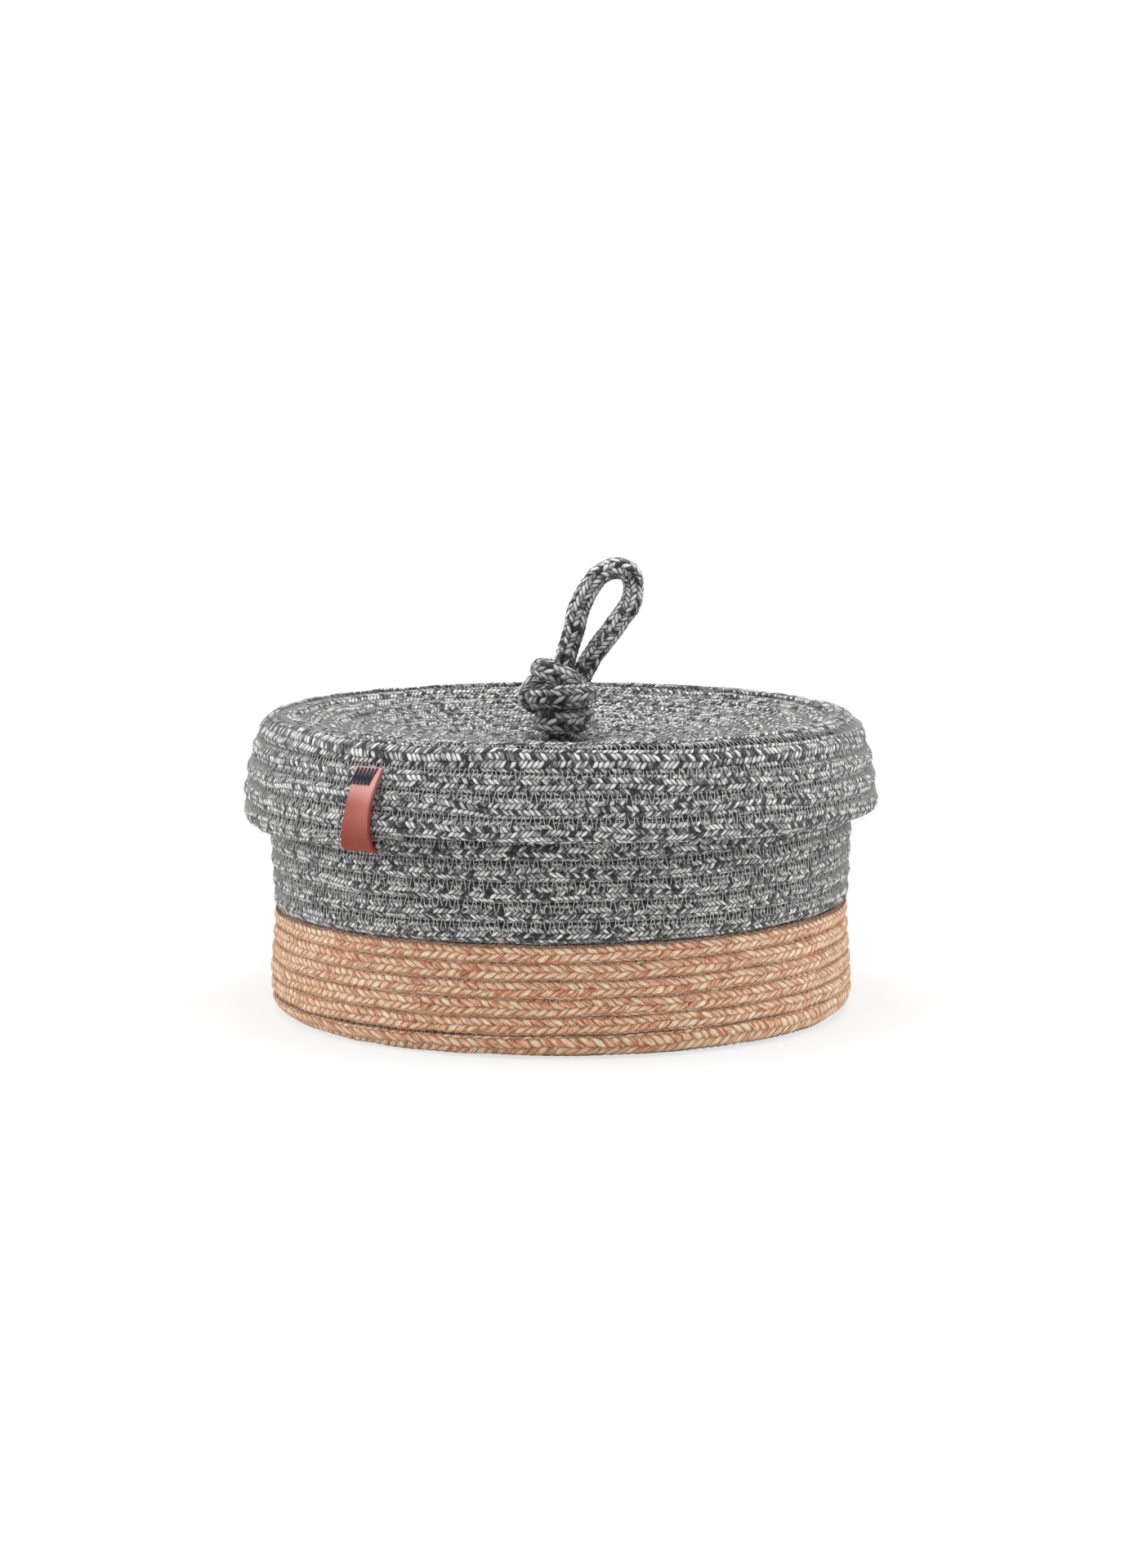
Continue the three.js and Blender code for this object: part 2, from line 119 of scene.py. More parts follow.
class BodySizes(bpy.types.PropertyGroup):
    """The basket's body, radii to the middle of the rope."""
    jute_rope: length("Jute rope", "Thickness of the jute rope", 7.4)
    jute_course: length("Jute course", "Height of one course of jute rope", 7.2)
    wall_rope: length("Wall rope", "Thickness of the grey wall rope", 8.2)
    wall_course: length("Wall course", "Height of one course of grey wall rope", 8.3)
    corner_radius: length("Base corner", "Radius of the corner from the base to the wall", 5.5)
    belly_radius: length("Belly radius", "Radius where the wall is widest", 120.3)
    belly_height: length("Belly height", "Height where the wall is widest", 20)
    waist_radius: length("Waist radius", "Radius where the colour changes", 118.6)
    change_height: length("Colour change", "Height where the grey rope begins", 45.9)
    shoulder_radius: length("Shoulder radius", "Radius under the lid's edge", 119.8)
    shoulder_height: length("Shoulder height", "Height of the shoulder", 80)
    rim_radius: length("Rim radius", "Radius of the topmost course", 116.5)
    rim_top: length("Rim height", "Height of the rim", 117.6)
    foot: length("Foot", "Clearance under the jute rope", 0.2)
    change_angle: turn("Colour change angle", "Where round the basket the rope changes", 95)
    plate_lead: plain("Base lead", "Turns of the wall winding that lie on the base", 1.05)


class LidSizes(bpy.types.PropertyGroup):
    """The lid, radii to the middle of the rope."""
    rope: length("Lid rope", "Thickness of the lid's rope", 8.7)
    course: length("Lid course", "Width of one course of the lid", 9.0)
    seat: length("Seat", "Clearance between the rim and the lid", 0.3)
    dish_depth: length("Dish depth", "How far the middle lies below the crest", 11.6)
    dish_power: plain("Dish power", "How late the dish turns up towards the crest", 2.5)
    crest_radius: length("Crest radius", "Rounding of the crest", 6.6)
    skirt_gap: length("Skirt gap", "Clearance between the wall and the skirt", 2.3)
    bulge_radius: length("Skirt bulge", "Radius of the skirt's outward bulge", 81)
    lean: turn("Skirt lean", "Lean of the skirt under the crest", 22)
    end_angle: turn("Rope end", "Where round the lid its rope ends", 242.2)
    end_drop: length("Skirt drop", "How far the rope's end lies below the crest", 37.8)
    taper: turn("Taper", "How far round the lid the rope's end tapers", 69)
    taper_tip: plain("Taper tip", "Share of the thickness that is left at the tip", 0.22)
    hole: length("Hole", "Radius of the hole for the handle's tails", 9.25)
    thin_start: plain("Thin start", "Turns of thinner rope that narrow the hole", 0.85)


class HandleSizes(bpy.types.PropertyGroup):
    """The knotted rope handle."""
    rope: length("Handle rope", "Thickness of the handle's rope", 8.7)
    neck: length("Neck", "Height of the neck between lid and knot", 3.2)
    rise: plain("Knot rise", "Height of the loop's feet over the knot's foot, in ropes", 3.66)
    fuller: plain("Fuller wraps", "How much thicker the rope is where it is wrapped", 1.14)


class TabSizes(bpy.types.PropertyGroup):
    """The leather tab."""
    azimuth: turn("Azimuth", "Where round the lid the tab hangs", 234)
    thickness: length("Thickness", "Thickness of the leather", 1.5)
    below_crest: length("Top", "How far the tab's top lies below the crest's top", 11.2)
    inner: length("Inner leg", "Length of the leg inside the skirt", 14)
    drop: length("Drop", "How far the fold hangs below the skirt", 3.5)


class Sewing(bpy.types.PropertyGroup):
    """The threads that sew course to course."""
    thread: length("Thread", "Thickness of the sewing thread", 0.34)
    step: length("Stitch step", "Distance along the seam from leg to leg", 1.8)
    reach: length("Stitch reach", "Width of the zigzag on the grey rope", 5.4)
    top_reach: length("Top reach", "Width of the zigzag on the lid's top", 4.0)
    sink: length("Sink", "How deep the thread lies in the rope's surface", 0.2)
    top_sink: length("Top sink", "How deep the thread lies on the lid's top", 0.45)
    drop: length("Drop", "How much lower the grey zigzag lies than the groove", 1.0)
    jute_reach: length("Jute reach", "Width of the zigzag on the jute rope", 4.0)
    jute_drop: length("Jute drop", "How much lower the jute zigzag lies than the groove", 1.5)
    change_reach: length("Change reach", "Width of the zigzag where the colour changes", 2.6)
    change_drop: length("Change drop", "How much lower that zigzag lies than the groove", 0.3)
    tack_reach: length("Tack reach", "Height of the dense stitches at the lid rope's end", 8.2)
    tack_step: length("Tack step", "Distance from leg to leg of the dense stitches", 0.5)
    tack_width: turn("Tack width", "How far round the lid the dense stitches reach", 3.8)


class Fuzz(bpy.types.PropertyGroup):
    """The stray fibres."""
    thickness: length("Fibre", "Thickness of a stray fibre", 0.14)
    lift: length("Lift", "How far a fibre may stand off the rope", 0.55)
    jute_fibres: bpy.props.IntProperty(
        name="Jute fibres", description="Number of stray fibres on the jute rope", default=3800)
    wool_fibres: bpy.props.IntProperty(
        name="Wool fibres", description="Number of stray fibres on each grey rope", default=3600)
    jute_longest: length("Jute fibre length", "Length of the longest jute fibre", 8)
    wool_longest: length("Wool fibre length", "Length of the longest grey fibre", 3.2)


class Colours(bpy.types.PropertyGroup):
    """Colours of the yarns, leather and threads."""
    grey_dark: colour("Dark yarn", "Darkest fibres of the grey heather", (60, 61, 62))
    grey_middle: colour("Grey yarn", "Main grey of the heather", (177, 177, 178))
    grey_light: colour("Light yarn", "Lightest fibres of the grey heather", (246, 246, 245))
    jute_dark: colour("Rust jute", "Darkest fibres of the jute", (196, 112, 76))
    jute_middle: colour("Jute", "Main colour of the jute", (250, 200, 164))
    jute_light: colour("Straw jute", "Palest fibres of the jute", (255, 244, 218))
    leather: colour("Leather", "Face of the leather", (168, 86, 73))
    # The pale leather is a painted highlight where the tab's top leans up towards the lamp
    # overhead
    leather_highlight: colour("Rubbed leather", "Leather where it is bent and rubbed", (238, 180, 176))
    leather_deep: colour("Deep leather", "Leather towards the fold", (132, 52, 36))
    leather_edge: colour("Leather edge", "Cut edge of the leather", (118, 50, 40))
    navy: colour("Navy thread", "Thread of the tab's stitches", (28, 26, 58))
    thread: colour("Sewing thread", "Thread between the grey courses", (222, 222, 220))
    jute_thread: colour("Jute thread", "Thread between the jute courses", (246, 192, 152))
    change_thread: colour("Change thread", "Thread where the colour changes", (150, 118, 124))


class StageSettings(bpy.types.PropertyGroup):
    """Camera, lamps and floor."""
    distance: plain("Distance", "Camera's distance in front of the basket", 1.6, unit="LENGTH")
    height: plain("Height", "Camera's height", 0.3002, unit="LENGTH")
    aside: plain("Aside", "Camera's place across", 0.00066, unit="LENGTH")
    pitch: turn("Pitch", "How far the camera looks down", 7.30)
    lens: plain("Lens", "Focal length on a sensor 36 mm high", 86.52)
    top_lamp: plain("Top lamp", "Power of the lamp overhead", 19.0)
    left_lamp: plain("Left lamp", "Power of the lamp at the left", 12.5)
    right_lamp: plain("Right lamp", "Power of the lamp at the right", 11.5)
    front_lamp: plain("Front lamp", "Power of the lamp behind the camera", 4.6)
    sky: plain("Surroundings", "Brightness of the white room", 0.42)


SETTINGS = (
    ("basket_body", BodySizes),
    ("basket_lid", LidSizes),
    ("basket_handle", HandleSizes),
    ("basket_tab", TabSizes),
    ("basket_sewing", Sewing),
    ("basket_fuzz", Fuzz),
    ("basket_colours", Colours),
    ("basket_stage", StageSettings),
)


# ---- materials ---------------------------------------------------------------------------


def operation(kind):
    """A method that adds a Math node of one kind."""
    return lambda number, *others: number.math(kind, *others)


class Number:
    """A number that changes over a surface: an expression on it adds its Math nodes."""

    def __init__(self, nodes, socket):
        self.nodes = nodes
        self.socket = socket

    def math(self, kind, *others):
        node = self.nodes.add("ShaderNodeMath", {"operation": kind},
                              dict(enumerate((self, *others))))
        return Number(self.nodes, node.outputs[0])

    __add__ = __radd__ = operation("ADD")
    __sub__ = operation("SUBTRACT")
    __mul__ = __rmul__ = operation("MULTIPLY")
    __truediv__ = operation("DIVIDE")

    def __rsub__(self, other):
        return (self * -1) + other

    floor = operation("FLOOR")
    fraction = operation("FRACT")
    sine = operation("SINE")
    size = operation("ABSOLUTE")
    power = operation("POWER")
    greater = operation("GREATER_THAN")
    largest = operation("MAXIMUM")
    wrapped = operation("FLOORED_MODULO")

    def ramp(self, low, high, to_low=0.0, to_high=1.0, smooth=True):
        kind = "SMOOTHSTEP" if smooth else "LINEAR"
        node = self.nodes.add("ShaderNodeMapRange", {"interpolation_type": kind}, {
            "Value": self, "From Min": low, "From Max": high, "To Min": to_low, "To Max": to_high,
        })
        return Number(self.nodes, node.outputs["Result"])


class Nodes:
    """The nodes of a material or of the world."""

    def __init__(self, owner):
        owner.use_nodes = True
        self.tree = owner.node_tree

    def feed(self, socket, value):
        """Links a socket to another one, or sets its value."""
        value = getattr(value, "socket", value)
        if isinstance(value, bpy.types.NodeSocket):
            self.tree.links.new(value, socket)
        else:
            socket.default_value = value

    def add(self, kind, settings=None, sockets=None):
        """Adds a node: its settings first, then the values or links of its sockets."""
        node = self.tree.nodes.new(kind)
        for key, value in (settings or {}).items():
            setattr(node, key, value)
        for key, value in (sockets or {}).items():
            self.feed(node.inputs[key], value)
        return node

    def ray(self, kind):
        """1 for rays of one kind and 0 for the others."""
        return Number(self, self.add("ShaderNodeLightPath").outputs[f"Is {kind} Ray"])

    def end(self, output, factor, first, second):
        """Ends the tree with two shaders, mixed by a number."""
        mix = self.add("ShaderNodeMixShader", {},
                       {0: factor, 1: first.outputs[0], 2: second.outputs[0]})
        self.feed(self.tree.nodes[output].inputs[0], mix.outputs[0])


class Finish(Nodes):
    """A procedural material with one Principled shader."""

    def __init__(self, name, roughness=0.9, sheen=0.0, specular=0.5, sheen_tint=(1, 1, 1)):
        self.material = bpy.data.materials.new(name)
        super().__init__(self.material)
        self.shader = self.tree.nodes["Principled BSDF"]
        self.set("Roughness", roughness)
        self.set("Specular IOR Level", specular)
        if sheen:
            self.set("Sheen Weight", sheen)
            self.set("Sheen Roughness", 0.5)
            self.set("Sheen Tint", (*sheen_tint, 1))

    def set(self, socket, value):
        self.feed(self.shader.inputs[socket], value)

    def rope_place(self, layer="Rope"):
        """Metres along the rope and the share of the way round it."""
        uv = self.add("ShaderNodeUVMap", {"uv_map": layer})
        return self.parts(uv.outputs[0])[:2]

    def parts(self, vector):
        """A vector's three numbers."""
        node = self.add("ShaderNodeSeparateXYZ", {}, {0: vector})
        return [Number(self, output) for output in node.outputs]

    def place(self):
        """The point on the piece, in metres."""
        return self.add("ShaderNodeTexCoord").outputs["Object"]

    def point(self, x, y=0.0, z=0.0):
        return self.add("ShaderNodeCombineXYZ", {}, {0: x, 1: y, 2: z}).outputs[0]

    def noise(self, where, scale=1.0, detail=2.0, roughness=0.5):
        node = self.add("ShaderNodeTexNoise", {"noise_dimensions": "3D"}, {
            "Vector": where, "Scale": scale, "Detail": detail, "Roughness": roughness,
        })
        return Number(self, node.outputs[0])

    def ramp_of(self, factor, stops):
        """A colour from a number, by stops of (place, colour)."""
        node = self.add("ShaderNodeValToRGB", {}, {"Fac": factor})
        elements = node.color_ramp.elements
        while len(elements) < len(stops):
            elements.new(0.5)
        for element, (place, tint) in zip(elements, stops):
            element.position = place
            element.color = (*tint, 1)
        return node.outputs[0]

    def mixed(self, factor, first, second, blend="MIX"):
        """Two colours mixed by a number."""
        node = self.add("ShaderNodeMix", {"data_type": "RGBA", "blend_type": blend},
                        {0: factor, 6: first, 7: second})
        return node.outputs[2]

    def either(self, choice, first, second):
        """The second number where the choice is 1, and the first where it is 0."""
        return first + choice * (second - first)

    def bump(self, height, distance):
        node = self.add("ShaderNodeBump", {}, {"Distance": distance, "Height": height})
        self.set("Normal", node.outputs[0])


class Braid:
    """A round braid: strands lean both ways and float over and under each other, so that the
    floats stand in as many columns along the rope as it has strands."""

    def __init__(self, finish, slot, strands, lay, yarns, offset, roam, seed):
        self.finish, self.slot = finish, slot
        self.strands, self.lay, self.yarns = strands, lay, yarns
        self.offset, self.roam, self.seed = offset, roam, seed

    def turned(self, along):
        """How far the braid is turned round the rope, which varies slowly along it."""
        return self.offset + wander(along, self.seed, self.roam, 60 * MM, 500 * MM)

    def heights(self, along, round_):
        """The braid's height over its ground at numpy places, from about 0 to 1.5."""
        left = self.strands * (round_ - along / self.lay) - 0.25
        right = self.strands * (round_ + along / self.lay) - 0.25
        over = BRAID_DEPTH * np.sin(np.pi * self.strands * round_)
        across = [2 * (value + 0.5 - np.floor(value + 0.5)) - 1 for value in (left, right)]
        return np.maximum(1 - across[0] ** 2 - over, 1 - across[1] ** 2 + over)


GREY_BRAID = Braid("grey heather rope", "grey_rope", strands=12, lay=25 * MM, yarns=2,
                   offset=0.04, roam=0.03, seed=5)
HANDLE_BRAID = Braid("grey handle rope", "grey_rope", strands=10, lay=25 * MM, yarns=2,
                     offset=0.04, roam=0.03, seed=7)
JUTE_BRAID = Braid("jute rope", "jute", strands=8, lay=32 * MM, yarns=3, offset=0.01,
                   roam=0.008, seed=6)


def braided_finish(braid, tints, depth, fibre, tones, sheen, gap, yarn_gap, groove=None,
                   warm=1.0, foot=None):
    """Braided rope: heathered yarns over and under each other, with painted shade between strands.
    The tones are how much the yarns, the strands and the fibres differ. Gap and yarn gap are the
    share of the colour that the painted shade leaves between strands and between yarns. Sewn rope
    has painted shade towards the groove to its neighbour, from the first share of the way round to
    the second. Warm is the power that green is darkened by in the painted shade; blue is darkened
    by its square. A handle has painted shade at its foot, from the second height down to the
    first."""
    finish = Finish(braid.finish, roughness=0.92, sheen=sheen, specular=0.15,
                    sheen_tint=tints[-1][1])
    along, round_ = finish.rope_place()
    uneven = finish.noise(finish.point(along * UNEVEN_CELLS, round_ * CELLS_ROUND, 2.2),
                          detail=1.0) - 0.5
    column = (round_ * (math.pi * braid.strands) + uneven * 1.6).sine()
    over = column * BRAID_DEPTH
    sides = []
    for lean, seed in ((-1, 3.7), (1, 11.3)):
        strand = round_ * braid.strands + along * (lean * braid.strands / braid.lay) + 0.25
        strand = strand + uneven * (0.8 * lean)
        across = strand.fraction() * 2 - 1
        yarn_place = strand * braid.yarns
        yarn = yarn_place.floor().wrapped(braid.strands * braid.yarns)
        yarn_across = yarn_place.fraction() * 2 - 1
        height = 1 - across * across + over * lean
        number = strand.floor().wrapped(braid.strands)
        wool, patch, hair = (finish.noise(finish.point(*place), detail=detail)
                             for place, detail in (
            ((yarn * YARN_APART + seed, along * YARN_CELLS, seed), 1.5),
            ((number * STRAND_APART + seed, along * STRAND_CELLS, 2 * seed), 1.0),
            ((yarn_place * fibre, along * FIBRE_CELLS, seed), 3.0),
        ))
        sides.append((height, yarn_across, wool, patch, hair))
    # The higher strand is on top: its yarns and fibres are the ones that show
    choice = sides[1][0].greater(sides[0][0])
    yarn_across, wool, patch, hair = (
        finish.either(choice, first, second) for first, second in zip(sides[0][1:], sides[1][1:])
    )
    height = sides[0][0].largest(sides[1][0])
    shade = (wool - 0.5) * tones[0] + (patch - 0.5) * tones[1] + (hair - 0.5) * tones[2] + 0.5
    tint = finish.ramp_of(shade, tints)
    valley = height.ramp(0.6, 1.5, to_low=gap)
    between_yarns = (1 - yarn_across * yarn_across).ramp(0.0, 0.6, to_low=yarn_gap)
    # Painted shade: darker between strands, between yarns and where the columns meet
    dim = valley * between_yarns * column.size().ramp(0.0, 0.4, to_low=0.5 + gap / 2)
    # Painted shade in the grooves between sewn courses
    if groove:
        start, end, left = groove
        _, share = finish.rope_place("Round")
        # The grooves are a quarter of the way round from the seam and from the middle
        dim = dim * ((share - 0.5).size() - 0.25).size().ramp(0.25 - end, 0.25 - start,
                                                              to_low=left)
    # Painted shade: the handle darker towards its foot, at the knot and the neck
    if foot:
        low, high, left = foot
        level = finish.parts(finish.place())[2]
        dim = dim * level.ramp(low, high, to_low=left)
    # The painted shade, warmer in the jute, where green and blue darken more
    shades = {0: dim, 1: dim.power(warm), 2: dim.power(warm * warm)}
    shadow = finish.add("ShaderNodeCombineColor", {}, shades).outputs[0]
    finish.set("Base Color", finish.mixed(1.0, tint, shadow, blend="MULTIPLY"))
    # The relief is the strands' first, then the yarns' and the fibres'
    relief = height * 0.62 + (1 - yarn_across * yarn_across) * 0.3 + (hair - 0.5) * 0.3
    finish.bump(relief, depth)
    finish.set("Roughness", hair.ramp(0.2, 0.8, to_low=0.78, to_high=1.0, smooth=False))


def fibre_finish(name, tints):
    """Stray fibres, each of its own shade."""
    finish = Finish(name, roughness=0.85, sheen=0.3, specular=0.3)
    along, _ = finish.rope_place()
    shade = finish.noise(finish.point(along * 90), detail=1.0)
    finish.set("Base Color", finish.ramp_of(shade, tints))
    return finish.material


def thread_finish(name, tint):
    """Twisted sewing thread."""
    finish = Finish(name, roughness=0.7, sheen=0.1)
    along, round_ = finish.rope_place()
    ply = ((along * 1900 + round_) * math.pi * 2).sine()
    worn = finish.noise(finish.point(along * 400, round_))
    shade = ply * 0.12 + worn * 0.3 + 0.32
    dark = [0.62 * value for value in tint]
    finish.set("Base Color", finish.ramp_of(shade, ((0.1, dark), (0.6, tint))))
    finish.bump(ply, 0.06 * MM)
    return finish.material


def leather_finish(colours):
    """Red-brown leather: fine grain, a painted highlight towards its top, darker towards the fold,
    dark pressed edges.
    """
    finish = Finish("tab leather", roughness=0.5, specular=0.25)
    where = finish.place()
    across, along = finish.rope_place("Strip")
    grain = finish.noise(where, 900, detail=4.0, roughness=0.62)
    pores = finish.add("ShaderNodeTexVoronoi", {"feature": "F1"}, {"Vector": where, "Scale": 1500})
    pores = Number(finish, pores.outputs["Distance"])
    cloud = finish.noise(where, 140, detail=3.0)
    from_middle = (across - 0.5).size()
    edge = from_middle.ramp(0.455, 0.5)
    # Painted highlight: paler towards the tab's top, where it leans up towards the lamp overhead,
    # mottled by the cloud
    painted_highlight = along.ramp(0.1, 0.3, to_low=1.0, to_high=0.0) * cloud.ramp(0.3, 0.7, to_low=0.75)
    face = (*colours.leather, 1)
    for factor, tint in (
        (along.ramp(0.3, 0.56) * 0.85 + cloud * 0.15, colours.leather_deep),
        (painted_highlight * 0.9, colours.leather_highlight),
        (edge * 0.7, colours.leather_edge),
    ):
        face = finish.mixed(factor, face, (*tint, 1))
    finish.set("Base Color", face)
    finish.set("Roughness", grain.ramp(0.3, 0.75, to_low=0.42, to_high=0.64))
    crease = (from_middle - 0.43).size().ramp(0.0, 0.02, to_low=-1.0, to_high=0.0)
    finish.bump(grain * 0.5 + pores * 0.4 + crease * 1.2, 0.16 * MM)
    return finish.material


# ---- profiles and windings ---------------------------------------------------------------


def run_along(points):
    """The length along a line of points at each of them."""
    return np.concatenate([[0], np.cumsum(np.linalg.norm(np.diff(points, axis=0), axis=1))])


def on_line(at, run, points):
    """The places at given lengths on a line of points."""
    return np.stack([np.interp(at, run, column) for column in points.T], axis=-1)


def unit(ways):
    """Directions of length 1."""
    return ways / np.maximum(np.linalg.norm(ways, axis=-1, keepdims=True), 1e-6)


class Profile:
    """A line in the half plane through the axis, measured along its length."""

    def __init__(self, points):
        points = np.array(points)
        run = run_along(points)
        self.total = run[-1]
        self.lengths = np.linspace(0, self.total, int(self.total / (0.1 * MM)))
        self.points = on_line(self.lengths, run, points)

    def at(self, s):
        return on_line(s, self.lengths, self.points)

    def direction(self, s):
        step = 1.0 * MM
        s = np.clip(s, 0, self.total)
        return unit(self.at(s + step) - self.at(s - step))

    def length_where(self, test):
        return self.lengths[np.argmax(test(self.points[:, 0], self.points[:, 1]))]


def arc(centre, radius, start, end, count=60):
    angles = np.linspace(start, end, count)
    return np.stack([centre[0] + radius * np.cos(angles), centre[1] + radius * np.sin(angles)], 1)


def through(points, per_span=60):
    """A smooth line through points."""
    points = np.asarray(points, float)
    padded = np.concatenate([points[:1], points, points[-1:]])
    t = np.linspace(0, 1, per_span, endpoint=False)[:, None]
    spans = []
    for a, b, c, d in zip(padded, padded[1:], padded[2:], padded[3:]):
        spans.append(0.5 * (2 * b + (c - a) * t + (2 * a - 5 * b + 4 * c - d) * t ** 2
                            + (3 * b - a - 3 * c + d) * t ** 3))
    return np.concatenate([*spans, points[-1:]])


def body_profile(sizes):
    middle = sizes.jute_rope / 2 + sizes.foot
    corner = (sizes.belly_radius - sizes.corner_radius, middle + sizes.corner_radius)
    wall = through([
        (sizes.belly_radius, corner[1]),
        (sizes.belly_radius, sizes.belly_height),
        (sizes.waist_radius, sizes.change_height),
        (sizes.shoulder_radius, sizes.shoulder_height),
        (sizes.rim_radius, sizes.rim_top - sizes.wall_course / 2 + 0.3 * MM),
    ])
    bend = arc(corner, sizes.corner_radius, -math.pi / 2, 0)
    flat = np.linspace((0, middle), (corner[0], middle), 200)
    return Profile(np.concatenate([flat, bend[1:], wall[1:]]))


class LidShape:
    """The lid's profile and the places on it that other pieces need."""

    def __init__(self, lid, body):
        half = lid.rope / 2
        self.skirt_radius = body.shoulder_radius + body.wall_rope / 2 + lid.skirt_gap + half
        edge = math.atan(lid.dish_depth * lid.dish_power / body.rim_radius)
        crest_x = (self.skirt_radius - lid.bulge_radius * (1 - math.cos(lid.lean))
                   - lid.crest_radius * math.cos(lid.lean))
        self.crest_inner = crest_x - lid.crest_radius * math.sin(edge)
        rise = lid.dish_depth * (body.rim_radius / self.crest_inner) ** lid.dish_power
        self.dish_middle = body.rim_top + lid.seat + half - rise
        crest_z = self.dish_middle + lid.dish_depth - lid.crest_radius * math.cos(edge)
        self.crest_height = crest_z + lid.crest_radius
        bulge_z = crest_z + (lid.crest_radius - lid.bulge_radius) * math.sin(lid.lean)
        bulge = (self.skirt_radius - lid.bulge_radius, bulge_z)
        radii = np.linspace(0, self.crest_inner, 300)
        dish = np.stack([radii, self.dish_middle
                         + lid.dish_depth * (radii / self.crest_inner) ** lid.dish_power], 1)
        crest = arc((crest_x, crest_z), lid.crest_radius, math.pi / 2 + edge, lid.lean)
        skirt = arc(bulge, lid.bulge_radius, lid.lean, 0)
        low = [(self.skirt_radius, bulge_z - 2 * lid.course)]
        self.profile = Profile(np.concatenate([dish, crest[1:], skirt[1:], low]))
        self.fold_height = bulge_z
        self.end_height = self.crest_height - lid.end_drop

    def on_skirt(self, height):
        return self.profile.length_where(lambda x, z: (x > self.crest_inner) & (z <= height))


class Winding:
    """One rope wound on a profile, which it moves along by one course a turn."""

    def __init__(self, profile, course, rope, start_angle, start_s, turns, outside=1, block=2.1):
        self.profile, self.course, self.rope, self.turns = profile, course, rope, turns
        self.start_angle, self.start_s = start_angle, start_s
        self.outside, self.block = outside, block

    def s_at(self, angle):
        return self.start_s + self.course * (angle - self.start_angle) / FULL_TURN

    def frame_at(self, angle, aside=0.0):
        """Centre, outward and onward directions at angles, on the course or aside of it."""
        s = self.s_at(angle) + aside
        centre = self.profile.at(s)
        way = self.profile.direction(s)
        ray = np.stack([np.cos(angle), np.sin(angle)], 1)

        def turned(r, z):
            return np.concatenate([ray * r[:, None], z[:, None]], 1)

        outward = turned(self.outside * way[:, 1], -self.outside * way[:, 0])
        return turned(centre[:, 0], centre[:, 1]), outward, turned(way[:, 0], way[:, 1])

    def angles_along(self, step, first=0.0, last=None):
        """Angles at even steps along the rope, and the length along it at each."""
        last = self.turns if last is None else last
        angles = self.start_angle + FULL_TURN * np.linspace(first, last, 4000)
        run = run_along(self.frame_at(angles)[0])
        lengths = np.linspace(0, run[-1], max(4, int(run[-1] / step)))
        return np.interp(lengths, run, angles), lengths

    def bent(self, rings, angles, centre, outward, onward):
        """Rings wider on the outside of the profile's bends, so that the courses stay close."""
        reach = self.course / 4
        turned = self.frame_at(angles, reach)[1] - self.frame_at(angles, -reach)[1]
        bend = np.sum(turned * onward, axis=1) / (2 * reach)
        way = rings - centre[:, None]
        out = np.sum(way * outward[:, None], axis=2)
        aside = np.sum(way * onward[:, None], axis=2)
        return rings + onward[:, None] * (aside * out * bend[:, None])[..., None]

    def surface_height(self, aside):
        """How far the rope's surface stands out at a distance aside of its middle."""
        share = np.clip(np.abs(aside) / (self.course / 2 + 0.15 * MM), 0, 1)
        return self.rope / 2 * (1 - share ** self.block) ** (1 / self.block)


def wander(lengths, seed, amount, shortest=18 * MM, longest=140 * MM):
    """A small smooth unevenness along a rope, of nine waves."""
    dice = np.random.default_rng(seed)
    total = np.zeros_like(lengths)
    for _ in range(9):
        wavelength = shortest * (longest / shortest) ** dice.random()
        total += np.sin(FULL_TURN * (lengths / wavelength + dice.random()))
    return amount * total / math.sqrt(9 / 2)


# ---- meshes ------------------------------------------------------------------------------


def finish_piece(mesh, material, body, slot, *nodes):
    """Puts a piece in the scene, on its body and in place of its CAD nodes."""
    piece = bpy.data.objects.new(mesh.name, mesh)
    bpy.context.scene.collection.objects.link(piece)
    mesh.materials.append(material)
    mesh.polygons.foreach_set("use_smooth", np.ones(len(mesh.polygons), bool))
    if body:
        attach(piece, body)
    if nodes:
        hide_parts(*nodes)
    return piece


